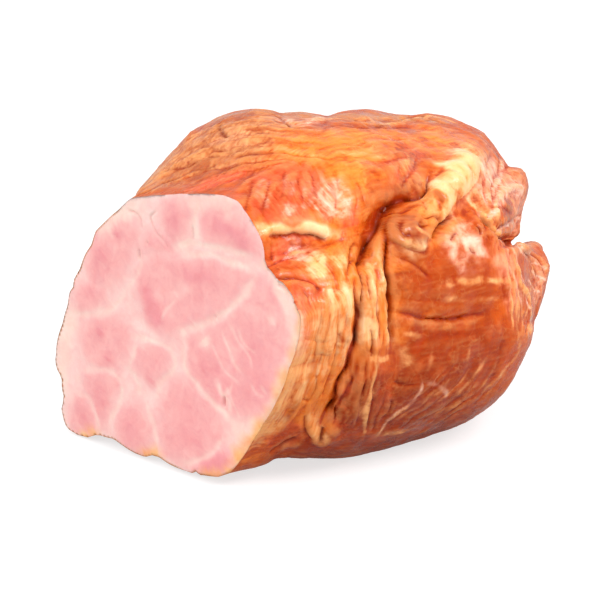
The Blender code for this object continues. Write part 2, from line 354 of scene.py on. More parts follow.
class Surface:
    """Points of a surface, and the relief and masks that strokes leave on them."""

    def __init__(self, grid, normals):
        self.points = grid.reshape(-1, 3)
        self.normals = normals.reshape(-1, 3)
        self.rise = np.zeros(len(self.points))
        self.slide = np.zeros_like(self.points)
        self.masks = {}

    def near(self, path, reach):
        """Points within reach of a path: their indices, distances, shares of the path, and steps to it."""
        inside = (self.points > path.min(axis=0) - reach) & (self.points < path.max(axis=0) + reach)
        index = np.flatnonzero(inside.all(axis=1))
        span = np.diff(path, axis=0)
        offset = self.points[index, None] - path[:-1]
        share = np.clip((offset * span).sum(-1) / ((span**2).sum(-1) + 1e-9), 0, 1)
        step = span * share[..., None] - offset
        gap = np.linalg.norm(step, axis=-1)
        best = gap.argmin(axis=1)
        rows = np.arange(len(index))
        kept = gap[rows, best] < reach
        rows, best = rows[kept], best[kept]
        return index[kept], gap[rows, best], (best + share[rows, best]) / len(span), step[rows, best]

    def crease(self, path, depth, width, pinch=0.5, dark=1.0, lip=0.22, line=1.3):
        """Presses a crease, pulls the skin together towards it and marks its bottom for painted shade."""
        index, gap, share, step = self.near(path, CREASE_REACH * width)
        ends = tapered(share, 0.15, 0.14) * unevenness(path, share)
        near = gap / (width * unevenness(path, share))
        profile = np.exp(-CREASE_FALL * near**1.3) - lip * np.exp(-(((near - LIP_PLACE) / LIP_WIDTH) ** 2))
        self.rise[index] -= depth * ends * profile
        flat_step = step - (step * self.normals[index]).sum(-1, keepdims=True) * self.normals[index]
        self.slide[index] += flat_step * (pinch * ends * np.exp(-(near**2)))[:, None]
        # Painted shade along the bottom of the crease, darker the deeper it is, scaled by dark.
        tint = min(1.0, 0.2 + 0.35 * depth) * dark
        self.mark("crease_shade", index, tint * ends * np.exp(-((gap / line) ** 2)))

    def ridge(self, path, height, width):
        """Raises a rounded ridge."""
        index, gap, share, _ = self.near(path, width)
        ends = tapered(share, 0.1, 0.16)
        self.rise[index] += height * ends * unevenness(path, share) * (1 - (gap / width) ** 2) ** 2

    def mark(self, mask, index, cover):
        """Keeps the larger of the mask and the cover at these points."""
        values = self.masks.setdefault(mask, np.zeros(len(self.points)))
        values[index] = np.maximum(values[index], cover)

    def paint(self, mask, path, width, strength=1.0):
        """Paints a mask along a path, fading outwards and towards its ends."""
        index, gap, share, _ = self.near(path, PAINT_REACH * width)
        ends = tapered(share, 0.4, 0.12)
        spread = width * unevenness(path, share)
        self.mark(mask, index, strength * ends * np.exp(-1.1 * (gap / spread) ** 2.4))

    def fill(self, mask, outline, edge, grow):
        """Fills a closed outline on the cut, grown a little, with a mask that fades over its edge."""
        path = np.concatenate([outline, outline[:1]])
        index, gap, _, _ = self.near(path, FILL_REACH)
        inside = within(outline, self.points[index, 0], self.points[index, 2])
        depth = np.where(inside, gap, -gap) + grow
        self.mark(mask, index, eased(depth / edge * 0.5 + 0.5))

    def shaped(self):
        """The points with their relief."""
        return self.points + self.slide + self.normals * self.rise[:, None]


skin = Surface(grid, outward(grid))
facing = skin.normals @ toward_camera
print("skin:", len(skin.points), "points,", int((facing > 0).sum()), "face the camera")

# %% [markdown]
# ## Folds of the outside
# The net and the heat pulled the outside together. One deep fold runs down from the top between the round
# shoulder on the left and a roll of fat on the right. Left of it hangs soft fat in long pleats, and right of
# it the lean lobe is crossed by a long crease. Each row holds the pixels that the middle of a fold runs
# through.

# %% Creases: depth and width in mm, then pixels
DEEP = 1.6
CORE_WIDTH, CORE_SHARE = 1.5, 0.7
CREASES = (
    (1.7, 3.6, ((431, 172), (429, 181), (426, 190), (417, 195), (403, 199), (389, 206), (378, 220),
        (369, 235), (363, 250), (360, 264), (361, 280))),
    (1.65, 1.9, ((386, 230), (385, 247), (386, 266), (387, 281), (389, 294), (389, 306), (391, 330),
        (391, 352))),
    (1.7, 1.9, ((354, 279), (356, 301), (356, 327), (353, 344), (348, 366), (341, 378), (336, 388),
        (333, 398), (328, 409), (320, 424))),
    (1.0, 1.3, ((357, 362), (352, 378), (346, 391), (341, 402), (337, 412), (333, 424))),
    (1.2, 1.5, ((361, 268), (361.6, 290), (361, 308), (360, 322))),
    (0.8, 1.3, ((368, 272), (369, 290), (368.6, 303))),
    (0.8, 1.3, ((377, 278), (377.6, 294), (378, 310), (379.6, 324), (381.4, 343))),
    (0.7, 1.2, ((383.4, 268), (384.4, 290), (385.6, 310), (387, 332))),
    (0.6, 1.3, ((370, 328), (373, 342), (371, 355))),
    (0.6, 1.1, ((368, 358), (365, 372), (363, 390), (360, 408), (357, 427))),
    (0.5, 1.1, ((378, 360), (377, 374), (373, 396), (369, 416), (366, 435))),
    (0.25, 1.3, ((330, 290), (329, 316), (324, 342), (318, 366), (314, 386), (308, 402))),
    (0.2, 1.3, ((323, 298), (321, 320), (316, 346), (312, 368))),
    (0.3, 1.3, ((339, 296), (338, 322), (337, 348), (332, 368), (326, 386), (323, 404))),
    (0.25, 1.2, ((346, 290), (347, 310), (346, 330), (344, 350))),
    (0.8, 1.4, ((356, 240), (349, 254), (346, 264))),
    (1.0, 1.5, ((355, 255), (348, 264), (348, 277))),
    (0.9, 1.4, ((374, 334), (373, 350), (371, 358))),
    (0.4, 1.3, ((339, 331), (339, 343))),
    (1.3, 1.8, ((268, 236), (273, 234.6), (284, 236), (290.6, 234), (295, 232), (301, 234.6),
                (311, 236), (322, 239), (328, 237))),
    (0.6, 1.4, ((271, 243), (272, 252), (272, 262))),
    (0.4, 1.4, ((273, 264), (279, 262), (286, 260))),
    (1.2, 2.2, ((274, 275), (290, 277), (304, 279.4), (314, 285), (322, 294))),
    (0.8, 1.4, ((393, 311), (406, 314), (417, 316.5), (432, 319), (444, 320), (458, 318), (472, 315),
        (490, 311))),
    (0.5, 1.5, ((396, 257), (408, 261), (416, 265), (423, 270), (431, 277))),
    (2.2, 2.6, ((453, 213), (446, 223), (440, 230), (433, 238))),
    (0.4, 1.6, ((436, 177), (446, 173), (456, 174))),
    (0.8, 1.4, ((424, 196), (425, 207), (424, 216), (433, 217), (443, 219))),
    (0.5, 1.4, ((388, 212), (400, 211), (412, 207), (424, 206))),
    (0.7, 1.3, ((424, 216), (420, 225), (430, 226), (440, 225))),
    (0.6, 1.4, ((391, 215), (387, 228), (390, 240), (400, 245), (410, 250), (423, 252), (428, 249),
        (430, 240))),
    (0.7, 1.4, ((401, 219), (400, 228), (405, 236), (412, 234))),
    (0.9, 1.0, ((220.5, 122), (220, 128.5), (222, 132.5), (227, 135), (231, 135))),
    (0.9, 1.7, ((268, 112), (278, 117), (290, 125), (300, 128))),
    (0.8, 1.5, ((272, 118), (283, 124), (296, 131))),
    (1.0, 1.8, ((394, 125), (406, 118.5), (418, 116.5), (432, 119), (450, 125))),
    (0.8, 1.6, ((330, 118), (354, 119.5), (363, 123), (378, 126), (391, 126))),
    (0.5, 1.5, ((132, 199), (150, 189), (176, 178), (201, 169), (224, 164))),
    (0.4, 1.5, ((150, 176), (175, 169), (190, 164), (204, 159), (226, 155))),
    (0.4, 1.5, ((196, 146), (220, 150), (246, 149), (270, 146))),
    (0.4, 1.5, ((230, 158), (255, 155), (280, 153), (310, 157), (335, 160))),
    (0.4, 1.4, ((312, 172), (313, 188), (317, 199))),
    (0.4, 1.3, ((268, 175), (267, 196), (262, 210))),
    (0.4, 1.3, ((286, 170), (284, 188), (280, 203))),
    (0.4, 1.3, ((300, 168), (299, 186), (302, 200))),
    (0.4, 1.3, ((252, 184), (248, 198), (246, 212))),
    (0.5, 1.3, ((500, 153), (497, 172), (491, 187), (492, 203))),
    (0.5, 1.3, ((493, 150), (488, 166), (489, 181), (485, 195))),
    (1.6, 2.4, ((481, 211), (490, 222), (500, 234), (508, 242), (516, 245))),
    (1.2, 1.8, ((500, 227), (510, 222), (520, 216))),
    (0.4, 1.6, ((394, 381), (403, 385), (418, 384))),
    (0.3, 1.5, ((301, 399), (308, 402), (317, 399))),
    (0.8, 1.6, ((304, 414), (306, 428), (312, 440))),
    (1.4, 1.6, ((325, 427), (322, 434), (320, 441))),
    (0.35, 1.3, ((385, 396), (378, 417), (373, 433))),
    (0.35, 1.3, ((392, 397), (388, 411), (379, 429))),
    (1.2, 1.5, ((278, 284), (286, 292))),
    (1.0, 1.3, ((295, 299), (298, 312))),
    (0.4, 1.6, ((330, 180), (334, 196), (338, 212))),
    (1.4, 2.4, ((297, 436), (282, 445), (268, 454))),
    (1.0, 1.6, ((523, 250), (532, 262), (540, 280))),
    (1.2, 1.8, ((528, 253), (541, 262), (545, 276))),
    (0.8, 1.2, ((450, 240), (453, 235), (457, 233))),
    (0.8, 1.2, ((469, 247), (472, 252), (477, 254))),
    (0.7, 1.2, ((476, 225), (479, 230), (481, 236))),
    (0.8, 1.2, ((499, 196), (498, 208), (500, 222))),
)


def fold(path, depth, width, core):
    """Presses a crease, and along its middle a narrow one whose depth is the share core of its own."""
    skin.crease(path, depth, width)
    if core:
        skin.crease(path, core * depth, CORE_WIDTH, pinch=0.2, lip=0)


for depth, width, pixels in CREASES:
    fold(seen(*pixels), depth, width, CORE_SHARE if depth > DEEP else 0)
print(len(CREASES), "creases")

# %% Ridges: height and width in mm, then pixels
RIDGES = (
    (0.8, 4.4, ((254, 226), (270, 228), (295, 226), (318, 230), (333, 233))),
    (0.8, 3.6, ((337, 252), (341, 268), (346, 284), (349, 320), (345, 350), (336, 372))),
    (0.8, 2.0, ((371, 258), (372, 282), (371, 304), (369, 318))),
    (0.9, 2.4, ((378, 240), (380, 262), (384, 290), (386, 330), (386, 352))),
    (0.5, 4.0, ((328, 300), (326, 340), (321, 375), (312, 398))),
    (0.6, 3.0, ((303, 372), (300, 392), (292, 412), (276, 432))),
    (0.5, 1.6, ((378, 360), (376, 376), (371, 395), (366, 410), (364, 428))),
    (0.8, 2.0, ((346, 372), (340, 388), (335, 402), (331, 420))),
    (1.1, 3.4, ((310, 415), (312, 432), (321, 442), (332, 436), (336, 422))),
    (0.4, 3.6, ((400, 303), (420, 308), (446, 310), (470, 306), (502, 300))),
    (0.7, 3.0, ((404, 321), (420, 324), (444, 327), (462, 325), (482, 320))),
    (2.0, 8.0, ((472, 152), (462, 172), (450, 190), (434, 208))),
    (1.0, 3.0, ((436, 222), (428, 232), (420, 242))),
    (0.7, 3.0, ((395, 218), (393, 232), (402, 243), (414, 245))),
    (0.5, 2.6, ((236, 194), (244, 185), (263, 173.5), (281, 167.5), (302, 163))),
    (0.5, 2.4, ((192, 190), (212, 183), (230, 178), (247, 171))),
    (0.5, 2.2, ((160, 175), (190, 158), (225, 142), (262, 138), (300, 139))),
    (0.7, 2.0, ((280, 118), (291, 124), (309, 122), (329, 116))),
    (1.2, 2.0, ((496, 222), (495, 208), (500, 196), (509, 188), (518, 187), (525, 191))),
    (1.0, 1.5, ((481, 208), (490, 219), (500, 231), (508, 239), (516, 242), (526, 252))),
    (1.0, 2.4, ((515, 262), (520, 282), (528, 298), (532, 316))),
    (1.2, 2.6, ((503, 246), (506, 268), (509, 292), (512, 320))),
    (0.3, 2.0, ((374, 437), (390, 421), (410, 403))),
    (0.2, 2.0, ((380, 436), (410, 430), (440, 416), (462, 398))),
)
for height, width, pixels in RIDGES:
    skin.ridge(seen(*pixels), height, width)
print(len(RIDGES), "ridges")

# %% [markdown]
# ## Paint
# Colours on smoked meat follow what lies under them: fat turns golden, lean turns red-brown, thin skin over
# fat stays tan, and dried salt and fat leave a pale bloom. Each mask below is one of those; the pale bloom
# mask also carries painted highlights where the wet skin shines, and a few dark strokes are painted shade in
# folds and pits.

# %% Masks of the outside: mask, strength, width in mm, then pixels
PAINT = (
    ("tan", 1.0, 20, ((136, 196), (170, 168), (215, 143), (262, 132), (300, 130))),
    ("tan", 0.9, 9, ((200, 122), (260, 112), (330, 116), (400, 118), (440, 118))),
    ("gold", 0.9, 15, ((268, 152), (310, 142), (350, 146), (385, 142), (430, 142))),
    ("gold", 0.9, 9, ((300, 164), (335, 170), (368, 172))),
    ("gold", 0.8, 9, ((428, 142), (452, 136), (474, 146))),
    ("pale", 0.8, 1.6, ((392, 126), (406, 120), (420, 116), (441, 118), (462, 126))),
    ("pale", 0.7, 1.6, ((318, 121), (340, 119), (360, 118), (378, 123), (392, 125))),
    ("gold", 0.8, 7, ((340, 190), (352, 215), (345, 235))),
    ("lean", 1.0, 11, ((246, 196), (262, 196), (285, 188), (303, 184), (318, 188))),
    ("lean", 1.0, 7, ((252, 186), (280, 178), (300, 176), (314, 180))),
    ("lean", 0.8, 9, ((398, 150), (410, 154), (420, 160))),
    ("dark", 0.6, 11, ((394, 148), (408, 154), (422, 162))),
    ("lean", 0.9, 8, ((262, 212), (285, 214), (310, 212))),
    ("lean", 0.9, 4.5, ((192, 190), (212, 183), (230, 178), (248, 171))),
    ("lean", 0.8, 6, ((349, 200), (350, 216), (352, 228))),
    ("lean", 0.8, 9, ((392, 156), (402, 170), (404, 186))),
    # Painted shade along the bottom of the deep fold.
    ("dark", 0.8, 5, ((424, 182), (414, 188), (398, 195), (382, 206))),
    ("dark", 0.3, 9, ((436, 130), (454, 136), (468, 140))),
    ("dark", 0.5, 12, ((392, 150), (404, 164), (412, 182))),
    ("dark", 0.45, 6, ((430, 152), (428, 166), (424, 182))),
    ("dark", 0.4, 12, ((250, 198), (278, 190), (306, 186))),
    # Painted highlight: a whitish-pink sheen on the lean side.
    ("bloom_and_highlight", 0.7, 6, ((322, 186), (334, 198), (342, 210))),
    ("bloom_and_highlight", 0.5, 4, ((283, 208), (292, 213))),
    ("bloom_and_highlight", 0.3, 6, ((210, 140), (226, 138), (245, 142))),
    # Painted sheen along the top ridge, near the outline.
    ("bloom_and_highlight", 0.6, 3.5, ((272, 116), (290, 125), (310, 122), (330, 116))),
    ("cream", 1.0, 2.3, ((260, 229), (276, 229.5), (298, 229), (318, 231), (330, 234))),
    ("even", 1.0, 6, ((258, 228), (276, 229), (300, 229), (324, 232), (346, 238))),
    ("bloom_and_highlight", 0.4, 3.0, ((299, 300), (302, 330), (296, 362), (286, 392), (272, 416), (254, 442))),
    ("gold", 0.9, 5.0, ((306, 330), (300, 362), (290, 392), (274, 420), (256, 446))),
    ("cream", 0.4, 2.6, ((312, 230), (330, 234), (346, 238))),
    ("gold", 0.9, 4.6, ((252, 226), (275, 226), (300, 225), (326, 229), (344, 234))),
    ("gold", 0.7, 5.0, ((326, 240), (344, 244), (356, 240))),
    ("lean", 0.7, 8, ((276, 248), (290, 252))),
    ("bloom_and_highlight", 0.5, 5, ((288, 244), (300, 252), (302, 262))),
    ("lean", 0.9, 5, ((270, 257), (282, 252))),
    ("lean", 1.0, 9, ((290, 286), (304, 292), (316, 304))),
    ("dark", 0.4, 8, ((292, 288), (304, 294), (314, 304))),
    ("lean", 0.7, 3, ((305, 330), (303, 345), (301, 362))),
    ("gold", 1.0, 12, ((318, 262), (320, 300), (316, 340), (308, 380), (292, 410))),
    ("gold", 1.0, 10, ((345, 250), (350, 300), (347, 338))),
    ("gold", 1.0, 5, ((347, 338), (336, 378), (322, 410))),
    ("gold", 1.0, 9, ((376, 240), (378, 290), (382, 330), (382, 350))),
    ("gold", 1.0, 6, ((300, 392), (285, 418), (262, 440))),
    ("rose", 0.8, 5, ((301, 330), (298, 362), (286, 394), (268, 420), (252, 440))),
    ("gold", 1.0, 9, ((318, 400), (316, 420), (322, 436))),
    ("pale", 0.5, 3, ((314, 410), (314, 424), (320, 438), (332, 434))),
    ("cream", 0.8, 3.2, ((345, 284), (347, 302), (348, 318))),
    ("cream", 0.6, 2.4, ((370, 262), (373, 284), (372, 300))),
    ("cream", 0.5, 2.2, ((379, 250), (382, 275), (383, 296))),
    ("cream", 0.7, 2.5, ((388, 320), (389, 345))),
    ("cream", 0.9, 3.4, ((314, 254), (318, 266), (324, 276))),
    ("cream", 0.8, 2.2, ((331, 288), (332, 303))),
    ("cream", 0.5, 3, ((339, 255), (341, 270))),
    # Painted shade along the bottom of the deep fold.
    ("dark", 0.6, 3, ((365, 232), (364, 250), (366, 266))),
    ("lean", 0.5, 2.4, ((375, 318), (376, 332), (377, 350))),
    ("lean", 0.5, 2.6, ((353, 330), (350, 352), (344, 372))),
    ("cream", 0.6, 3, ((318, 318), (318, 330))),
    ("cream", 0.9, 3.4, ((362, 323), (370, 326), (376, 340))),
    ("gold", 1.0, 14, ((478, 152), (458, 172), (442, 192), (428, 210))),
    ("gold", 1.0, 8, ((436, 218), (426, 232), (414, 244))),
    ("gold", 0.6, 6, ((392, 212), (392, 230), (402, 244))),
    ("cream", 1.0, 9.5, ((475, 152), (470, 163), (467, 177), (460, 190))),
    ("cream", 0.8, 8, ((462, 174), (452, 188), (443, 198), (436, 208))),
    ("gold", 0.8, 8, ((450, 142), (440, 158), (434, 174))),
    ("cream", 0.6, 3, ((428, 246), (416, 248), (402, 242))),
    ("rose", 0.9, 3.6, ((407, 222), (406, 232))),
    # Painted highlight: whitish-pink sheen on the pitted patch of the knob.
    ("bloom_and_highlight", 0.6, 9, ((454, 226), (464, 236), (473, 247), (475, 258))),
    ("bloom_and_highlight", 0.6, 6, ((449, 240), (457, 254), (467, 265))),
    ("bloom_and_highlight", 0.75, 6, ((491, 160), (488, 185), (486, 200))),
    ("rose", 0.8, 11, ((498, 160), (506, 180), (518, 190), (510, 236))),
    ("cream", 0.55, 2.0, ((496, 222), (495, 208), (500, 196), (509, 189), (518, 188), (525, 192))),
    ("lean", 0.9, 5, ((506, 206), (508, 216))),
    ("rose", 0.8, 8, ((505, 250), (512, 280), (520, 310))),
    ("rose", 0.7, 8, ((534, 256), (540, 280), (534, 306))),
    ("gold", 0.5, 7, ((397, 262), (398, 285), (398, 300))),
    ("gold", 0.25, 3, ((400, 304), (430, 310), (470, 305), (500, 300))),
    ("gold", 0.5, 3, ((408, 322), (436, 326), (470, 322), (488, 318))),
    ("pale", 0.4, 5, ((402, 346), (406, 356), (412, 365))),
    ("dark", 0.85, 14, ((402, 342), (430, 346), (470, 348), (500, 342))),
    ("dark", 0.5, 12, ((404, 276), (430, 288), (470, 292), (500, 284))),
    ("dark", 1.0, 26, ((385, 408), (430, 398), (480, 380))),
    ("dark", 0.8, 14, ((440, 372), (470, 368), (505, 362))),
    ("dark", 1.0, 8.5, ((366, 382), (361, 406), (354, 434))),
    ("lean", 0.9, 8, ((358, 388), (354, 410), (350, 434))),
    ("lean", 0.8, 7, ((378, 376), (372, 400), (368, 430))),
    ("dark", 0.8, 8, ((378, 372), (374, 400), (370, 432))),
    ("dark", 0.85, 10, ((394, 214), (404, 226), (416, 238), (428, 234))),
    ("dark", 0.62, 18, ((195, 148), (225, 132), (262, 124))),
    ("dark", 0.5, 9, ((402, 214), (416, 224), (426, 232))),
    ("dark", 0.6, 9, ((398, 150), (410, 158), (420, 168))),
    # Painted shade along the bottom of the deep fold.
    ("dark", 0.5, 7, ((362, 236), (366, 250), (366, 266))),
    ("dark", 0.5, 9, ((268, 447), (288, 438), (302, 426))),
    ("lean", 0.6, 8, ((268, 447), (288, 438), (302, 426))),
    # Darker along the bottom edge, where the body meets the table.
    ("dark", 1.0, 12, ((280, 454), (330, 452), (380, 446), (440, 430), (480, 410))),
    ("dark", 0.6, 8, ((400, 270), (404, 295))),
    ("dark", 0.5, 10, ((440, 280), (480, 275))),
    ("dark", 0.35, 9, ((395, 140), (410, 150), (424, 158))),
    ("gold", 0.6, 3, ((240, 464), (254, 458), (266, 454))),
    ("pale", 0.85, 7, ((302, 350), (290, 388), (274, 416), (257, 440))),
    ("pale", 0.4, 9, ((322, 292), (324, 330), (318, 372))),
    ("cream", 0.5, 2.6, ((360, 284), (361, 306), (362, 330), (360, 348))),
    ("cream", 0.4, 2.2, ((350, 330), (346, 350), (340, 368))),
    ("pale", 0.35, 1.4, ((440, 301), (465, 300), (502, 297))),
    ("pale", 0.25, 1.3, ((400, 433), (420, 425), (441, 412), (461, 397), (471, 387))),
    ("bloom_and_highlight", 0.5, 0.9, ((422, 380), (419, 392), (412, 403), (397, 412), (386, 423), (378, 436))),
    ("bloom_and_highlight", 0.35, 1.2, ((426, 381), (436, 385), (445, 392), (445, 399))),
    ("pale", 0.22, 1.3, ((422, 379), (430, 367), (432, 354), (431, 340))),
    ("pale", 0.22, 1.2, ((456.5, 337), (458, 352), (456, 366))),
    ("pale", 0.22, 1.2, ((469, 345), (468, 370))),
    ("pale", 0.22, 1.2, ((480, 337), (479, 352), (482, 368))),
    ("pale", 0.8, 1.8, ((515, 262), (520, 282), (528, 298), (532, 318), (526, 336))),
    ("pale", 0.45, 1.2, ((518, 329), (520, 338), (518, 352), (508, 366), (495, 380), (480, 398))),
    ("pale", 0.8, 1.5, ((481, 208), (490, 219), (500, 231), (508, 239), (516, 242), (526, 252))),
    ("pale", 0.6, 1.4, ((378, 360), (376, 376), (371, 395), (365, 412), (364, 430))),
    ("pale", 0.4, 1.2, ((404, 334), (411, 335), (424, 338))),
    ("pale", 0.4, 1.1, ((374, 438), (390, 421), (411, 403))),
    ("pale", 0.5, 1.5, ((381, 434), (410, 430))),
    ("pale", 0.8, 1.5, ((370, 358), (380, 360), (392, 357))),
    ("bloom_and_highlight", 0.95, 0.9, ((478, 209), (488, 219), (496, 229), (504.5, 239), (512, 244), (520, 247),
        (527, 252))),
    ("bloom_and_highlight", 0.95, 0.8, ((488, 218), (492, 214), (497, 209))),
    ("bloom_and_highlight", 0.9, 0.8, ((500, 229), (507, 225), (513, 221), (521, 217))),
    ("bloom_and_highlight", 0.8, 0.8, ((494, 222), (502, 232), (509, 240), (516, 246), (524, 256))),
    ("bloom_and_highlight", 0.8, 0.8, ((511, 247), (518, 268), (525, 290), (530, 312))),
    ("bloom_and_highlight", 0.7, 0.8, ((507, 245), (510, 262), (516, 284), (522, 304))),
    ("bloom_and_highlight", 0.7, 0.7, ((531, 262), (540, 266), (547, 268))),
    ("bloom_and_highlight", 0.7, 0.7, ((530, 270), (538, 276), (545, 280))),
    ("bloom_and_highlight", 0.7, 0.7, ((527, 280), (534, 288), (541, 292))),
    ("bloom_and_highlight", 0.7, 0.7, ((518, 247), (526, 250), (534, 256))),
    ("lean", 0.9, 8, ((508, 202), (510, 212), (507, 222))),
    ("dark", 0.9, 8, ((509, 201), (510, 212), (507, 222))),
    ("bloom_and_highlight", 0.8, 3, ((497, 204), (503, 194), (513, 189), (523, 189))),
    # Painted shade in the pits of the knob.
    ("dark", 0.55, 1.6, ((476, 226), (478, 231), (481, 235))),
    ("dark", 0.7, 1.6, ((450, 238), (455, 234), (452, 243))),
    ("dark", 0.7, 1.6, ((468, 248), (472, 252), (476, 254))),
    ("dark", 0.6, 1.6, ((463, 255), (466, 260), (474, 262))),
    ("even", 1.0, 18, ((410, 268), (440, 272), (475, 275), (500, 272))),
    ("even", 1.0, 14, ((410, 296), (440, 296), (475, 296), (500, 294))),
    ("even", 1.0, 12, ((452, 226), (464, 238), (472, 252))),
    ("even", 1.0, 26, ((404, 340), (440, 346), (480, 344), (500, 340))),
    ("even", 0.9, 26, ((392, 404), (430, 394), (474, 378))),
    ("even", 1.0, 15, ((474, 154), (464, 172), (450, 192), (432, 212))),
    ("even", 0.7, 8, ((450, 142), (440, 158), (434, 174))),
    ("even", 0.9, 9, ((396, 216), (408, 230), (420, 244))),
    ("even", 0.8, 6, ((507, 202), (510, 214), (506, 224))),
    ("upright", 1.0, 16, ((250, 200), (290, 200), (340, 205))),
    ("upright", 1.0, 24, ((345, 250), (350, 320), (340, 380))),
    ("upright", 1.0, 16, ((310, 290), (305, 350), (300, 400), (330, 430))),
    ("upright", 0.9, 12, ((505, 240), (512, 290), (515, 330))),
    ("upright", 0.9, 12, ((370, 380), (362, 430))),
    ("upright", 0.8, 10, ((405, 160), (400, 185))),
    ("upright", 0.8, 10, ((494, 160), (488, 190))),
)


def paint_rows(surface, rows, path):
    """Paints each row of a list, along the path that its places give."""
    for mask, strength, width, places in rows:
        surface.paint(mask, path(*places), width, strength)


paint_rows(skin, PAINT, seen)
print("masks:", sorted(skin.masks))

# %% [markdown]
# ## Fans of fine lines
# Between two neighbouring folds the skin is full of finer ones that run the same way. So a fan takes the
# paths of its two edges and draws lines in between. Each line covers a random stretch, and is a small crease,
# a small ridge, or a streak of paler or darker colour.

# %% Fans: count, depth and width in mm, then the pixels of the two edges
FANS = (
    (34, 0.5, 1.4, ((129, 198), (149, 185), (184, 169), (223, 155), (262, 151), (300, 155), (335, 160)),
                   ((134, 192), (160, 166), (190, 136), (220, 124), (255, 115), (290, 118), (325, 120))),
    (14, 0.5, 1.4, ((152, 199), (190, 191), (225, 179), (262, 168), (300, 162)),
                   ((133, 198), (160, 185), (200, 168), (240, 160), (290, 157))),
    (26, 0.25, 1.3, ((242, 212), (248, 190), (262, 173)), ((324, 218), (328, 190), (322, 166))),
    (12, 0.45, 1.5, ((328, 222), (334, 196), (330, 170)), ((372, 232), (374, 200), (364, 168))),
    (10, 0.3, 1.4, ((303, 290), (303, 345), (298, 385), (275, 428)), ((351, 285), (352, 330), (345, 368),
        (322, 415))),
    (6, 0.6, 1.4, ((358, 250), (360, 300), (359, 345), (343, 405)), ((386, 235), (388, 290), (390, 352))),
    (8, 0.35, 1.3, ((340, 385), (331, 432)), ((376, 366), (368, 438))),
    (8, 0.4, 1.8, ((308, 262), (330, 266), (350, 268)), ((298, 392), (318, 396), (338, 394))),
    (10, 0.3, 1.5, ((452, 148), (470, 150), (490, 158)), ((400, 214), (418, 230), (434, 240))),
    (8, 0.35, 1.6, ((466, 146), (452, 164), (428, 192), (404, 214)), ((490, 155), (478, 185), (455, 205),
        (434, 236))),
    (10, 0.9, 1.5, ((484, 155), (482, 185), (487, 206)), ((503, 160), (501, 185), (498, 206))),
    (7, 0.3, 2.0, ((394, 262), (430, 266), (480, 260), (510, 266)), ((395, 300), (430, 304), (480, 300),
        (515, 296))),
    (14, 0.5, 1.8, ((440, 368), (415, 392), (382, 418), (364, 436)), ((522, 345), (496, 388), (450, 418),
        (420, 438))),
    (10, 0.8, 1.6, ((502, 245), (506, 290), (510, 335)), ((546, 268), (543, 300), (530, 340))),
    (10, 0.9, 1.8, ((300, 119), (340, 118), (390, 118), (440, 121)), ((300, 130), (345, 127), (392, 129),
        (446, 128))),
    (12, 0.6, 1.8, ((322, 130), (360, 129), (400, 131), (445, 134)), ((332, 168), (362, 170), (395, 172),
        (430, 150))),
    (5, 0.3, 1.4, ((300, 378), (281, 408), (252, 440)), ((304, 410), (286, 432), (264, 454))),
    (6, 0.3, 1.4, ((264, 242), (285, 240), (328, 243)), ((268, 272), (290, 274), (330, 280))),
    (6, 0.35, 1.4, ((268, 274), (290, 284), (306, 304)), ((310, 276), (324, 292), (326, 310))),
    (12, 0.4, 1.6, ((392, 150), (390, 168), (384, 190)), ((436, 146), (424, 168), (408, 186))),
    (10, 0.7, 1.5, ((500, 150), (512, 168), (524, 180)), ((492, 215), (502, 232), (514, 240))),
)

# %% Lines between two edges
def even_line(pixels, count):
    """The same line as count points at even distances."""
    line = smooth_line(pixels)
    reach = np.concatenate([[0], np.cumsum(np.linalg.norm(np.diff(line, axis=0), axis=1))])
    places = np.linspace(0, reach[-1], count)
    return np.stack([np.interp(places, reach, line[:, k]) for k in range(line.shape[1])], axis=1)


FAN_POINTS = 12
LATEST_START = 0.5
STRETCH = (0.35, 0.9)


def fan(count, first, last):
    """Random stretches of lines between two lines."""
    first, last = even_line(first, FAN_POINTS), even_line(last, FAN_POINTS)
    for number in range(count):
        share = (number + chance.uniform(0.1, 0.9)) / count
        start = chance.uniform(0, LATEST_START)
        end = min(1, start + chance.uniform(*STRETCH))
        line = first * (1 - share) + last * share
        yield line[int(start * FAN_POINTS) : int(end * FAN_POINTS) + 1]


CREASES_TO, RIDGES_TO, PALE_TO = 0.4, 0.7, 0.86
FINE_SIZES = (0.5, 1.25)


def fine_line(path, depth, width):
    """One fine line of a random kind and size: a crease, a ridge, or a pale or dark streak."""
    kind, size = chance.random(), chance.uniform(*FINE_SIZES)
    if kind < CREASES_TO:
        skin.crease(path, 0.5 * depth * size, width * size, dark=0.22 * size)
    elif kind < RIDGES_TO:
        skin.ridge(path, 0.6 * depth * size, 1.4 * width * size)
    elif kind < PALE_TO:
        skin.paint("pale", path, 0.7 * width, 0.45 * size)
    else:
        skin.paint("dark", path, 1.6 * width, 0.4 * size)


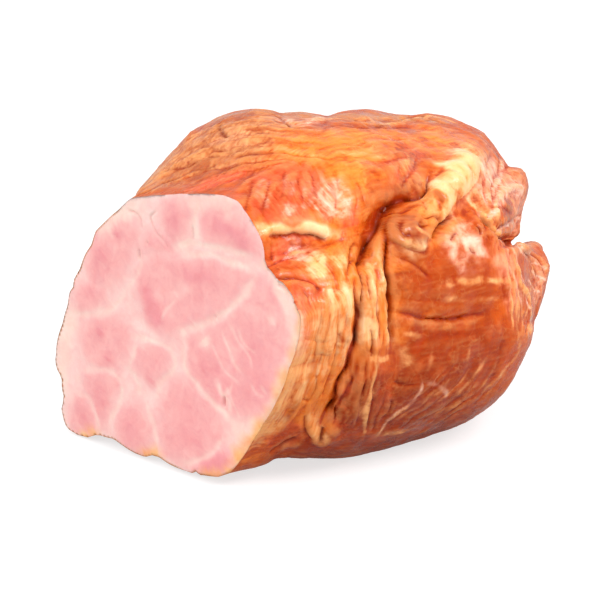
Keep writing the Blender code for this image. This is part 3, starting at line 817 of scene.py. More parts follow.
# %% Streaks: count, mask, strength, width in mm, then the pixels of the two edges
STREAKS = (
    (24, "pale", 0.4, 1.1, ((129, 198), (149, 185), (184, 169), (223, 155), (262, 151), (300, 155)),
                           ((134, 192), (160, 166), (190, 136), (220, 124), (255, 115), (290, 118))),
    (8, "bloom_and_highlight", 0.3, 1.2, ((246, 208), (252, 190), (262, 178)), ((322, 214), (326, 190), (320, 170))),
    (18, "dark", 0.35, 1.1, ((246, 208), (252, 190), (262, 178)), ((322, 214), (326, 190), (320, 170))),
    # Painted highlight streaks on the shiny lean side.
    (8, "bloom_and_highlight", 0.45, 1.4, ((310, 214), (316, 195), (316, 178)), ((346, 222), (350, 198), (346, 178))),
    (9, "bloom_and_highlight", 0.85, 1.0, ((484, 156), (482, 185), (487, 205)), ((502, 161), (501, 185), (498, 205))),
    (7, "cream", 0.5, 1.2, ((318, 290), (318, 345), (308, 390)), ((351, 290), (351, 330), (344, 365))),
    (6, "cream", 0.5, 0.9, ((360, 262), (362, 310), (362, 350)), ((384, 250), (386, 290), (388, 345))),
    (8, "cream", 0.5, 1.3, ((455, 150), (446, 172), (420, 205)), ((482, 160), (470, 185), (440, 214))),
    (8, "pale", 0.3, 1.0, ((440, 370), (415, 395), (382, 420)), ((522, 345), (496, 388), (450, 418))),
    (10, "pale", 0.25, 1.2, ((322, 132), (360, 131), (400, 133)), ((332, 165), (362, 168), (395, 168))),
    (6, "bloom_and_highlight", 0.25, 1.2, ((394, 152), (394, 178)), ((422, 158), (412, 184))),
    (8, "pale", 0.5, 1.0, ((500, 250), (508, 290), (512, 330)), ((540, 262), (540, 296), (526, 338))),
)
for count, mask, strength, width, first, last in STREAKS:
    for line in fan(count, first, last):
        skin.paint(mask, seen(*line, per_span=2), width, strength)
for count, depth, width, first, last in FANS:
    for line in fan(count, first, last):
        fine_line(seen(*line, per_span=2), depth, width)
print(sum(row[0] for row in FANS), "fine lines in", len(FANS), "fans")

# %% [markdown]
# ## The sides that the camera does not see
# The back, the underside and the far end were shaped by the same net and the same smoke, so they get the same
# kinds of stroke: long creases and rolls of fat along the piece, and shorter ones where they meet at its end.
# A row gives the distance behind the cut in mm and the bearing in degrees, 0 up and 90 to the right.

# %% Folds along the far sides
FAR_FOLDS = (
    (1.2, 4.0, ((2, 322), (24, 326), (50, 316), (84, 318), (112, 310), (146, 316))),
    (3.4, 6.0, ((2, 296), (22, 291), (46, 296), (78, 286), (104, 292), (140, 280))),
    (2.2, 5.0, ((2, 268), (30, 274), (56, 262), (82, 266), (120, 256), (150, 262))),
    (3.6, 7.0, ((2, 240), (26, 233), (58, 244), (90, 236), (118, 242), (154, 228))),
    (1.6, 4.0, ((2, 214), (34, 220), (62, 208), (96, 214), (130, 204), (160, 210))),
    (1.4, 5.0, ((2, 190), (30, 182), (70, 192), (110, 184), (150, 190))),
    (1.2, 4.0, ((40, 160), (66, 166), (96, 158), (130, 166), (160, 160))),
)
FAR_PAINT = (
    ("tan", 1.0, 22, ((6, 318), (50, 322), (100, 320), (140, 318))),
    ("tan", 0.8, 16, ((10, 292), (50, 298), (90, 294))),
    ("gold", 0.9, 11, ((20, 304), (50, 303), (90, 296), (130, 300))),
    ("gold", 1.0, 9, ((4, 282), (30, 284), (60, 276), (100, 278))),
    ("cream", 0.9, 4, ((6, 286), (30, 286), (56, 284), (84, 278))),
    ("lean", 0.9, 12, ((70, 306), (100, 304), (124, 300))),
    ("lean", 0.9, 13, ((14, 256), (40, 252), (72, 254))),
    ("gold", 0.9, 9, ((60, 256), (90, 250), (124, 250))),
    ("cream", 0.8, 4, ((70, 248), (96, 246), (120, 248))),
    ("bloom_and_highlight", 0.6, 7, ((100, 268), (124, 272), (140, 268))),
    # Darker towards the underside.
    ("dark", 0.8, 16, ((10, 226), (50, 228), (100, 224), (140, 222))),
    ("dark", 0.9, 22, ((20, 200), (80, 200), (150, 200))),
    ("dark", 0.9, 20, ((40, 172), (90, 174), (150, 172))),
    ("gold", 0.7, 8, ((30, 236), (60, 230), (90, 228))),
    ("pale", 0.6, 1.6, ((20, 262), (50, 258), (80, 262), (110, 262), (140, 246))),
    ("pale", 0.5, 1.6, ((60, 278), (70, 262), (84, 250), (96, 236))),
)


# %% Draw the long folds
HIDDEN_BELOW = 0.03
FAR_START, FAR_FADE = 0.1, 0.18
FAR_CORE = 0.5
FAR_FAN = 22
FAR_FINE = (0.8, 1.7)


def hidden(path):
    """Whether the middle of a path lies on a side that the camera does not see."""
    place = path[len(path) // 2]
    number = np.linalg.norm(skin.points - place, axis=1).argmin()
    return facing[number] < HIDDEN_BELOW


far_cover = eased((FAR_START - facing) / FAR_FADE)
seen_rise, seen_slide = skin.rise.copy(), skin.slide.copy()
seen_masks = {mask: values.copy() for mask, values in skin.masks.items()}
for depth, width, places in FAR_FOLDS:
    fold(girth(*places), depth, width, FAR_CORE)
paint_rows(skin, FAR_PAINT, girth)
for one, other in zip(FAR_FOLDS[:-1], FAR_FOLDS[1:]):
    for line in fan(FAR_FAN, one[2], other[2]):
        path = girth(*line, per_span=2)
        if hidden(path):
            fine_line(path, *FAR_FINE)
print(len(FAR_FOLDS), "long folds on the far sides")


# %% Folds across the far end: depth and width in mm, then x and z in mm
END_FOLDS = (
    (3.2, 6.0, ((50, 70), (34, 64), (16, 62), (0, 68), (-18, 64), (-40, 70))),
    (2.4, 5.0, ((14, 112), (10, 98), (2, 84), (0, 68))),
    (2.8, 6.0, ((46, 34), (28, 40), (8, 32), (-12, 38), (-34, 30), (-52, 36))),
    (1.8, 4.0, ((-38, 100), (-28, 88), (-24, 76), (-18, 64))),
    (1.8, 4.0, ((8, 32), (4, 20), (-2, 10))),
    (1.6, 4.0, ((16, 62), (24, 52), (28, 40))),
    (1.6, 4.0, ((-18, 64), (-14, 50), (-12, 38))),
    (1.4, 4.0, ((-58, 56), (-44, 52), (-34, 42), (-34, 30))),
)
END_PAINT = (
    ("gold", 0.9, 9, ((34, 78), (22, 74), (8, 74))),
    ("gold", 0.9, 10, ((-4, 100), (-12, 88), (-8, 76))),
    ("cream", 0.8, 4, ((30, 76), (20, 73), (10, 74))),
    ("lean", 1.0, 12, ((30, 96), (24, 86), (34, 88))),
    ("lean", 0.9, 11, ((-34, 58), (-28, 50), (-24, 46))),
    ("lean", 0.8, 9, ((8, 52), (14, 46), (6, 44))),
    ("gold", 0.8, 8, ((-46, 64), (-32, 68), (-24, 72))),
    ("bloom_and_highlight", 0.7, 6, ((0, 50), (6, 54), (12, 50))),
    ("tan", 0.9, 16, ((-40, 96), (-14, 110), (16, 112), (36, 104))),
    # Darker towards the bottom of the far end.
    ("dark", 0.9, 18, ((-44, 16), (0, 12), (40, 18))),
    ("pale", 0.7, 1.6, ((30, 100), (22, 90), (24, 78), (16, 62))),
    ("pale", 0.6, 1.6, ((-40, 60), (-26, 52), (-14, 50), (4, 46), (24, 52))),
    ("pale", 0.6, 1.6, ((-20, 34), (-16, 22), (-20, 12))),
)
END_FANS = (
    (16, ((48, 66), (30, 60), (16, 58), (0, 62)), ((46, 40), (28, 44), (8, 38), (-8, 42))),
    (14, ((44, 86), (30, 80), (14, 76)), ((40, 102), (28, 104), (16, 104))),
    (14, ((4, 80), (4, 96), (8, 110)), ((-24, 80), (-26, 92), (-34, 102))),
    (14, ((-20, 60), (-34, 64), (-52, 66)), ((-16, 40), (-32, 36), (-50, 40))),
    (16, ((44, 30), (20, 34), (0, 28)), ((36, 12), (16, 12), (-2, 10))),
    (14, ((-14, 34), (-34, 26), (-50, 30)), ((-6, 10), (-26, 12), (-42, 14))),
)

# %% Draw the folds of the far end, and fade them all where the camera's side starts
BEHIND_ALL = 200.0


def from_behind(*places, per_span=6):
    """A path on the far end through pairs of x and z."""
    line = smooth_line(places, per_span)
    hits = [body_tree.ray_cast(Vector((x, BEHIND_ALL, z)) * MM, Vector((0, -1, 0)))[0] for x, z in line]
    return np.array([hit for hit in hits if hit is not None]) / MM


for depth, width, places in END_FOLDS:
    fold(from_behind(*places), depth, width, FAR_CORE)
paint_rows(skin, END_PAINT, from_behind)
for count, first, last in END_FANS:
    for line in fan(count, first, last):
        fine_line(from_behind(*line, per_span=2), *FAR_FINE)
skin.rise = seen_rise + (skin.rise - seen_rise) * far_cover
skin.slide = seen_slide + (skin.slide - seen_slide) * far_cover[:, None]
for mask, values in seen_masks.items():
    skin.masks[mask] = values + (skin.masks[mask] - values) * far_cover
print(len(END_FOLDS), "folds across the far end")

# %% Notch of the far end, and nicks in the rim of the cut: depth and width in mm, then a pixel
NOTCH = ((478, 207), (492, 224), (504, 236), (514, 243))
notch_path = np.concatenate([seen(*NOTCH), behind(NOTCH[-1], (2, 6, 10, 15, 22))])
skin.crease(notch_path, 2.2, 4.0, pinch=0.2, dark=0.1, lip=0.3)

RIM_NICKS = (
    (1.6, 3.5, (60, 388)), (1.4, 3.0, (65, 415)), (1.2, 4.0, (97, 437)),
    (1.8, 4.0, (122, 449)), (1.6, 3.0, (146, 457)), (1.0, 3.0, (196, 473)),
    (1.0, 3.0, (112, 214)), (1.0, 4.0, (88, 248)), (0.8, 3.0, (72, 286)),
    (0.9, 4.0, (57, 340)),
)
NICK_LENGTH = 24.0
for depth, width, pixel in RIM_NICKS:
    start = on_body(pixel)
    path = onto_body([start + (0, step, 0) for step in np.linspace(0, NICK_LENGTH, 6)])
    path = np.concatenate([[path[0] - (0, NICK_LENGTH / 2, 0)], path])
    skin.crease(path, depth, width, pinch=0.2, dark=0.3)
print(len(RIM_NICKS), "nicks in the rim")

# %% [markdown]
# ## From grid to mesh
# The points become a closed mesh: rings of quads, a pole at the far end, and a hidden cap just behind the
# cut. The masks go along as attributes.

# %% Skin mesh
RIM_CALM = 3.0
UNDERSIDE_SOFT = 1.5
SHARP_ANGLE = np.radians(75.0)


def settle(points):
    """Keeps the underside on the table, with a soft turn."""
    height = points[:, 2]
    turn = (height + UNDERSIDE_SOFT) ** 2 / (4 * UNDERSIDE_SOFT)
    soft = np.where(height < UNDERSIDE_SOFT, turn, height)
    points[:, 2] = np.where(height <= -UNDERSIDE_SOFT, 0.0, soft)
    return points


def fan_faces(ring, centre, flip):
    """Triangles from a ring of point numbers to a centre point."""
    pairs = zip(ring, np.roll(ring, -1).tolist())
    return [(b, a, centre) if flip else (a, b, centre) for a, b in pairs]


def make_piece(name, points, faces, masks):
    """A mesh object from points in mm, with its masks as attributes."""
    mesh = bpy.data.meshes.new(name)
    mesh.from_pydata((points * MM).tolist(), [], faces)
    for mask, values in masks.items():
        padded = np.zeros(len(points), np.float32)
        padded[: len(values)] = values
        mesh.attributes.new(mask, "FLOAT", "POINT").data.foreach_set("value", padded)
    mesh.shade_smooth()
    mesh.set_sharp_from_angle(angle=SHARP_ANGLE)
    mesh.update()
    made = bpy.data.objects.new(name, mesh)
    bpy.context.scene.collection.objects.link(made)
    return made


# %% Close the skin
CAP_INSET = 1.5
CAP_DEPTH = 2.5
FOOT_HEIGHT, FOOT_CALM = 1.0, 4.0
rim_calm = eased((grid[..., 1] - CUT_Y) / RIM_CALM).reshape(-1)
skin.masks["free"] = rim_calm * eased((skin.points[:, 2] - FOOT_HEIGHT) / FOOT_CALM)
shaped = skin.shaped()
shaped[:, 1] = skin.points[:, 1] + (shaped[:, 1] - skin.points[:, 1]) * rim_calm
shaped = settle(shaped)
rings = len(stations)
body_points = shaped[: (rings - 1) * ROUND]
rim = shaped[:ROUND]
rim_centre = rim.mean(axis=0)
inward = rim_centre - rim
inward = inward / np.linalg.norm(inward, axis=1, keepdims=True)
cap_ring = rim + inward * CAP_INSET + (0, CAP_DEPTH, 0)
pole = shaped[-ROUND:].mean(axis=0)
points = np.concatenate([body_points, [pole], cap_ring, [rim_centre + (0, CAP_DEPTH, 0)]])
pole_number = len(body_points)
cap_numbers = list(range(pole_number + 1, pole_number + 1 + ROUND))
faces = ring_faces(rings - 1, ROUND)
faces += fan_faces(list(range(pole_number - ROUND, pole_number)), pole_number, flip=False)
next_cap, next_rim = np.roll(cap_numbers, -1).tolist(), np.roll(range(ROUND), -1).tolist()
faces += [(a, b, d, c) for a, b, c, d in zip(cap_numbers, next_cap, range(ROUND), next_rim)]
faces += fan_faces(cap_numbers, len(points) - 1, flip=True)
kept = {mask: values[:pole_number] for mask, values in skin.masks.items()}
rind = make_piece("smoked_rind", points, faces, kept)
print("rind:", len(points), "points,", sum(len(face) - 2 for face in faces), "triangles")

# %% [markdown]
# ## Grain by Geometry Nodes
# Meat and fat have a grain: fine ribs, two or three millimetres apart, that run along the piece, and upright
# where the fat hangs in pleats. A rule like that suits Geometry Nodes. The tree stretches a noise along the
# grain and moves each point in or out by it. A second, coarser noise cuts wrinkles where it passes its middle
# value, and a third raises soft lumps. The sizes are named inputs.

# %% A helper for nodes
def adder(tree):
    """The function that adds nodes to a tree."""

    def put(kind, inputs=(), out=0, **settings):
        """Adds a node and gives its output. An input is a value, or another node's output to link."""
        made = tree.nodes.new(kind)
        for name, value in settings.items():
            setattr(made, name, value)
        for socket, value in dict(inputs).items():
            if isinstance(value, bpy.types.NodeSocket):
                tree.links.new(value, made.inputs[socket])
            else:
                made.inputs[socket].default_value = value
        return made.outputs[out] if made.outputs else None

    return put


# %% Grain relief tree
RIB_NOISE = {"Scale": 1.0, "Detail": 3.0, "Distortion": 0.6}
WRINKLE_NOISE = {"Scale": 0.45, "Detail": 2.0, "Distortion": 1.2}
WRINKLE_BAND = 0.07


def grain_tree():
    """Moves points along their normals by a noise that is stretched along the grain."""
    tree = bpy.data.node_groups.new("grain_relief", "GeometryNodeTree")
    tree.interface.new_socket("Geometry", in_out="INPUT", socket_type="NodeSocketGeometry")
    tree.interface.new_socket("Geometry", in_out="OUTPUT", socket_type="NodeSocketGeometry")
    for name in ("Rib height", "Rib spacing", "Rib length", "Wrinkle depth", "Lump height", "Lump size"):
        tree.interface.new_socket(name, in_out="INPUT", socket_type="NodeSocketFloat")
    tree.interface.new_socket("Finish", in_out="INPUT", socket_type="NodeSocketMaterial")
    given = tree.nodes.new("NodeGroupInput").outputs
    put = adder(tree)
    place = put("GeometryNodeInputPosition")
    across = put("ShaderNodeMath", {0: 1.0, 1: given["Rib spacing"]}, operation="DIVIDE")
    along = put("ShaderNodeMath", {0: 1.0, 1: given["Rib length"]}, operation="DIVIDE")
    upright = put("GeometryNodeInputNamedAttribute", {"Name": "upright"}, data_type="FLOAT")
    waves = []
    for look in (RIB_NOISE, WRINKLE_NOISE):
        ways = []
        for x, y in ((across, along), (along, across)):
            stretch = put("ShaderNodeCombineXYZ", {0: x, 1: y, 2: x})
            vector = put("ShaderNodeVectorMath", {0: place, 1: stretch}, operation="MULTIPLY")
            ways.append(put("ShaderNodeTexNoise", {"Vector": vector, **look}))
        wave = put("ShaderNodeMix", {0: upright, 2: ways[0], 3: ways[1]})
        waves.append(put("ShaderNodeMath", {0: wave, 1: 0.5}, operation="SUBTRACT"))
    ribs = put("ShaderNodeMath", {0: waves[0], 1: given["Rib height"]}, operation="MULTIPLY")
    band = put("ShaderNodeMath", {0: waves[1]}, operation="ABSOLUTE")
    sunk = put("ShaderNodeMapRange", {"Value": band, 1: 0.0, 2: WRINKLE_BAND, 3: -1.0, 4: 0.0})
    cut_in = {0: sunk, 1: given["Wrinkle depth"], 2: ribs}
    ribs = put("ShaderNodeMath", cut_in, operation="MULTIPLY_ADD")
    size = put("ShaderNodeMath", {0: 1.0, 1: given["Lump size"]}, operation="DIVIDE")
    lumps = put("ShaderNodeTexNoise", {"Vector": place, "Scale": size, "Detail": 2.0})
    lumps = put("ShaderNodeMath", {0: lumps, 1: 0.5}, operation="SUBTRACT")
    raised = {0: lumps, 1: given["Lump height"], 2: ribs}
    rise = put("ShaderNodeMath", raised, operation="MULTIPLY_ADD")
    free = put("GeometryNodeInputNamedAttribute", {"Name": "free"}, data_type="FLOAT")
    rise = put("ShaderNodeMath", {0: rise, 1: free}, operation="MULTIPLY")
    normal = put("GeometryNodeInputNormal")
    offset = put("ShaderNodeVectorMath", {0: normal, "Scale": rise}, operation="SCALE")
    moved = put("GeometryNodeSetPosition", {"Geometry": given["Geometry"], "Offset": offset})
    real = put("GeometryNodeRealizeInstances", {"Geometry": moved})
    done = put("GeometryNodeSetMaterial", {"Geometry": real, "Material": given["Finish"]})
    put("NodeGroupOutput", {"Geometry": done})
    return tree


def run_tree(piece, tree, values):
    """Runs a node tree on a piece with these named inputs, and keeps the result as a plain mesh."""
    modifier = piece.modifiers.new(tree.name, "NODES")
    modifier.node_group = tree
    for socket in tree.interface.items_tree:
        if socket.name in values:
            modifier[socket.identifier] = values[socket.name]
    graph = bpy.context.evaluated_depsgraph_get()
    live = piece.evaluated_get(graph)
    mesh = bpy.data.meshes.new_from_object(live, preserve_all_data_layers=True, depsgraph=graph)
    piece.modifiers.remove(modifier)
    piece.data = mesh
    mesh.shade_smooth()
    mesh.set_sharp_from_angle(angle=SHARP_ANGLE)
    return piece


relief = grain_tree()
print("grain tree of", len(relief.nodes), "nodes")

# %% [markdown]
# ## Finishes
# Smoked rind is fat and lean under a thin dried skin. It is a little translucent and moist, so it takes a
# soft sheen. Its colour comes in layers: a brown base, then each mask in its own two tones, mixed by a grain
# that runs as the ribs do, then a painted highlight on raised folds, painted shade in hollows and pale veins,
# and at last painted shade in the bottoms of the creases.

# %% Colours
def linear(code, alpha=1.0):
    """An sRGB hex colour as linear values."""
    values = np.array([int(code[k : k + 2], 16) for k in (1, 3, 5)]) / 255
    values = np.where(values <= 0.04045, values / 12.92, ((values + 0.055) / 1.055) ** 2.4)
    return (*values.tolist(), alpha)


RIND_LAYERS = (
    ("tan", "#B45524", "#DC8850"),
    ("gold", "#E2600A", "#FA9238"),
    ("lean", "#D23E12", "#FA7848"),
    ("rose", "#D66A3C", "#FFA880"),
    ("dark", "#862400", "#BC4408"),
    ("cream", "#FFA858", "#FFDAAA"),
    # Pale bloom, which also carries painted highlights.
    ("bloom_and_highlight", "#EE8A5C", "#FFD2B8"),
    ("pale", "#E88640", "#FFB878"),
)
RIND_BASE = ("#B03A04", "#D85E12")
# Painted shade in hollows.
HOLLOW_SHADE = "#C85410"
# Pale colour of the veins, also used as the painted highlight on raised folds.
PALE_VEIN_AND_HIGHLIGHT = "#FFB870"
# Painted shade for the bottoms of the creases.
CREASE_SHADE = "#6E2002"
print("a mid tone of lean, linear:", [round(value, 3) for value in linear(RIND_LAYERS[2][2])[:3]])

# %% Smoked rind
GRAIN_ACROSS, GRAIN_ALONG = 1.5 * MM, 22.0 * MM
PATCH_SIZE = 7.0 * MM
EDGE_GRIT = 2.2 * MM
VEIN_SPACING = 11.0 * MM
WET_PATCH = 9.0 * MM
WANDER_SCALE, WANDER = 60.0, 8.0 * MM
RAGGED = 4.0
VEIN_BAND, VEIN_COVER = 0.012, 0.1
RAISED_HIGHLIGHT_COVER, HOLLOW_SHADE_COVER, CREASE_SHADE_COVER = 0.24, 0.75, 0.75
WET_COAT = 0.35


def blank_material(name):
    """A material with an empty node tree, and the function that adds nodes to it."""
    material = bpy.data.materials.new(name)
    material.use_nodes = True
    material.node_tree.nodes.clear()
    return material, adder(material.node_tree)


def rind_material():
    """Smoked, moist rind: a satin of fat and lean, with wet patches under a thin clear coat of fat."""
    material, put = blank_material("smoked_pork_rind")
    place = put("ShaderNodeTexCoord", out="Object")
    wander = put("ShaderNodeTexNoise", {"Vector": place, "Scale": WANDER_SCALE, "Detail": 2.0}, out="Color")
    wander = put("ShaderNodeVectorMath", {0: wander, 1: (0.5, 0.5, 0.5)}, operation="SUBTRACT")
    wander = put("ShaderNodeVectorMath", {0: wander, "Scale": WANDER}, operation="SCALE")
    bent = put("ShaderNodeVectorMath", {0: place, 1: wander}, operation="ADD")
    upright = put("ShaderNodeAttribute", attribute_name="upright", out="Fac")
    grains = []
    for x, y in ((1 / GRAIN_ACROSS, 1 / GRAIN_ALONG), (1 / GRAIN_ALONG, 1 / GRAIN_ACROSS)):
        stretched = put("ShaderNodeMapping", {"Vector": bent, "Scale": (x, y, x)})
        look = {"Vector": stretched, "Scale": 1.0, "Detail": 4.0, "Roughness": 0.6}
        grains.append(put("ShaderNodeTexNoise", look))
    grain = put("ShaderNodeMix", {0: upright, 2: grains[0], 3: grains[1]})
    patch = put("ShaderNodeTexNoise", {"Vector": bent, "Scale": 1 / PATCH_SIZE, "Detail": 4.0})
    grit = put("ShaderNodeTexNoise", {"Vector": bent, "Scale": 1 / EDGE_GRIT, "Detail": 3.0})
    even = put("ShaderNodeAttribute", attribute_name="even", out="Fac")
    even_tone = put("ShaderNodeMapRange", {"Value": even, 3: 0.35, 4: 0.8})
    tone = put("ShaderNodeMix", {0: even_tone, 2: grain, 3: patch})
    tone = put("ShaderNodeMapRange", {"Value": tone, 1: 0.34, 2: 0.66})
    even_edge = put("ShaderNodeMapRange", {"Value": even, 3: 0.5, 4: 1.0})
    edge = put("ShaderNodeMix", {0: even, 2: grit, 3: patch})
    ragged = put("ShaderNodeMix", {0: even_edge, 2: grain, 3: edge})
    ragged = put("ShaderNodeMath", {0: ragged, 1: 0.5}, operation="SUBTRACT")
    base = {0: tone, 6: linear(RIND_BASE[0]), 7: linear(RIND_BASE[1])}
    colour = put("ShaderNodeMix", base, data_type="RGBA", out=2)
    for mask, deep, light in RIND_LAYERS:
        cover = put("ShaderNodeAttribute", attribute_name=mask, out="Fac")
        worn = put("ShaderNodeMath", {0: ragged, 1: RAGGED, 2: 1.0}, operation="MULTIPLY_ADD")
        worn = put("ShaderNodeMath", {0: worn, 1: cover}, operation="MULTIPLY")
        step = {"Value": worn, 1: 0.05, 2: 0.85}
        worn = put("ShaderNodeMapRange", step, interpolation_type="SMOOTHSTEP")
        shade = put("ShaderNodeMix", {0: tone, 6: linear(deep), 7: linear(light)}, data_type="RGBA", out=2)
        colour = put("ShaderNodeMix", {0: worn, 6: colour, 7: shade}, data_type="RGBA", out=2)
    lift = put("ShaderNodeAttribute", attribute_name="lift", out="Fac")
    # Painted highlight on raised folds, then painted shade in hollows.
    raised = put("ShaderNodeMapRange", {"Value": lift, 1: 0.05, 2: 1.0, 4: RAISED_HIGHLIGHT_COVER})
    colour = put("ShaderNodeMix", {0: raised, 6: colour, 7: linear(PALE_VEIN_AND_HIGHLIGHT)}, data_type="RGBA", out=2)
    sunken = put("ShaderNodeMapRange", {"Value": lift, 1: -0.05, 2: -1.0, 4: HOLLOW_SHADE_COVER})
    hollow = {0: sunken, 6: colour, 7: linear(HOLLOW_SHADE)}
    colour = put("ShaderNodeMix", hollow, data_type="RGBA", blend_type="MULTIPLY", out=2)
    vein = put("ShaderNodeTexNoise", {"Vector": bent, "Scale": 1 / VEIN_SPACING, "Detail": 3.0})
    vein = put("ShaderNodeMath", {0: vein, 1: 0.5}, operation="SUBTRACT")
    vein = put("ShaderNodeMath", {0: vein}, operation="ABSOLUTE")
    vein = put("ShaderNodeMapRange", {"Value": vein, 1: 0.0, 2: VEIN_BAND, 3: VEIN_COVER, 4: 0.0})
    colour = put("ShaderNodeMix", {0: vein, 6: colour, 7: linear(PALE_VEIN_AND_HIGHLIGHT)}, data_type="RGBA", out=2)
    # Painted shade in the bottoms of the creases.
    crease_shade = put("ShaderNodeAttribute", attribute_name="crease_shade", out="Fac")
    crease_shade = put("ShaderNodeMapRange", {"Value": crease_shade, 1: 0.1, 2: 1.0, 4: CREASE_SHADE_COVER})
    colour = put("ShaderNodeMix", {0: crease_shade, 6: colour, 7: linear(CREASE_SHADE)}, data_type="RGBA", out=2)
    wet = put("ShaderNodeTexNoise", {"Vector": place, "Scale": 1 / WET_PATCH, "Detail": 3.0})
    wet = put("ShaderNodeMapRange", {"Value": wet, 1: 0.5, 2: 0.62, 3: 0.0, 4: WET_COAT})
    rough = put("ShaderNodeMapRange", {"Value": patch, 1: 0.35, 2: 0.65, 3: 0.2, 4: 0.46})
    bump_height = put("ShaderNodeMix", {0: even, 2: grain, 3: 0.5})
    bump = put("ShaderNodeBump", {"Height": bump_height, "Strength": 0.6, "Distance": 0.6 * MM})
    bump = {"Height": grit, "Strength": 0.35, "Distance": 0.5 * MM, "Normal": bump}
    bump = put("ShaderNodeBump", bump)
    dry = put("ShaderNodeMapRange", {"Value": crease_shade, 3: 1.0, 4: 0.0})
    wet = put("ShaderNodeMath", {0: wet, 1: dry}, operation="MULTIPLY")
    shader = put("ShaderNodeBsdfPrincipled", {
        "Base Color": colour,
        "Roughness": rough,
        "IOR": 1.38,
        "Subsurface Weight": 0.15,
        "Subsurface Radius": (1.0, 0.4, 0.2),
        "Subsurface Scale": 2.5 * MM,
        "Specular IOR Level": 0.24,
        "Coat Weight": wet,
        "Coat Roughness": 0.1,
        "Normal": bump,
    })
    put("ShaderNodeOutputMaterial", {"Surface": shader})
    return material


rind_finish = rind_material()
RIND_GRAIN = {
    "Rib height": 0.3 * MM, "Rib spacing": 2.4 * MM, "Rib length": 20.0 * MM, "Wrinkle depth": 0.14 * MM,
    "Lump height": 1.6 * MM, "Lump size": 14.0 * MM, "Finish": rind_finish,
}
run_tree(rind, relief, RIND_GRAIN)
print("rind finished,", len(rind.data.materials), "material")

# %% [markdown]
# ## High and low
# Hollows get painted shade, dark and red, and raised folds get a paler painted highlight. So each point is
# compared with the average round it, and the difference goes on the mesh as one more mask, called lift.

# %% Lift of each point
LIFT_CELLS = 3
LIFT_FULL = 0.7
FINE_LIFT_FULL = 0.3
final_rind = np.empty(len(rind.data.vertices) * 3)
rind.data.vertices.foreach_get("co", final_rind)
final_rind = final_rind.reshape(-1, 3) / MM
around_pole = np.repeat(final_rind[pole_number][None], ROUND, axis=0)[None]
final_grid = np.concatenate([final_rind[:pole_number].reshape(-1, ROUND, 3), around_pole])
normals = outward(final_grid)
above = ((final_grid - soften(final_grid, LIFT_CELLS)) * normals).sum(-1)
fine = ((final_grid - soften(final_grid, 1)) * normals).sum(-1)
lift = np.zeros(len(final_rind), np.float32)
lift[:pole_number] = np.clip(above[:-1] / LIFT_FULL + fine[:-1] / FINE_LIFT_FULL, -1, 1).reshape(-1)
rind.data.attributes.new("lift", "FLOAT", "POINT").data.foreach_set("value", lift)
print("lift from", round(float(above.min()), 2), "to", round(float(above.max()), 2), "mm")

# %% [markdown]
# ## The cut face
# The knife left one flat face across all the muscles. Cooked and cured meat is pale pink. The muscles differ
# a little in depth of colour, thin seams of fat and tendon run between them, and the fat at the rim is
# creamy. The face takes its outline from the finished rind, so the two meet without a gap.

# %% Points of the face
FACE_STEP = 0.7
RIM_LINE_END, RIM_LINE_FADE, RIM_LINE_TOP, RIM_LINE_WIDTH = 40.0, 20.0, 8.0, 1.8
FACE_MARGIN = 0.6
rim = final_rind[:ROUND]
low, high = rim.min(axis=0), rim.max(axis=0)
rows = np.arange(low[2], high[2], FACE_STEP * np.sqrt(3) / 2)
columns = np.arange(low[0], high[0], FACE_STEP)
x, z = np.meshgrid(columns, rows)
x[::2] += FACE_STEP / 2
mesh_points = np.stack([x.ravel(), z.ravel()], axis=1)


def within(outline, x, z):
    """Whether each place lies inside an outline, by counting the sides to its right."""
    inside = np.zeros(np.shape(x), bool)
    for (ax, _, az), (bx, _, bz) in zip(outline, np.roll(outline, -1, axis=0)):
        inside ^= ((az > z) != (bz > z)) & (x < (bx - ax) * (z - az) / (bz - az + 1e-9) + ax)
    return inside


from_rim = np.min(np.linalg.norm(mesh_points[:, None] - rim[None, :, [0, 2]], axis=2), axis=1)
mesh_points = mesh_points[within(rim, *mesh_points.T) & (from_rim > FACE_MARGIN)]
outline_points = [tuple(place) for place in rim[:, [0, 2]].tolist()]
outline_edges = [(k, (k + 1) % ROUND) for k in range(ROUND)]
flat = delaunay_2d_cdt(
    [Vector(place) for place in outline_points + mesh_points.tolist()],
    outline_edges,
    [list(range(ROUND))],
    1,
    1e-6,
)
face_points = np.array([(x, CUT_Y, z) for x, z in flat[0]])
face_triangles = [tuple(triangle) for triangle in flat[2]]
face = Surface(face_points, np.broadcast_to((0.0, -1.0, 0.0), face_points.shape))
from_rim = np.min(np.linalg.norm(face_points[:, None] - rim[None], axis=2), axis=1)
left_side = eased((RIM_LINE_END - face_points[:, 0]) / RIM_LINE_FADE)
left_side = left_side * eased((high[2] - RIM_LINE_TOP - face_points[:, 2]) / RIM_LINE_TOP)
face.masks["rim"] = np.clip(1 - from_rim / RIM_LINE_WIDTH, 0, 1) * left_side
print("face:", len(face_points), "points,", len(face_triangles), "triangles")

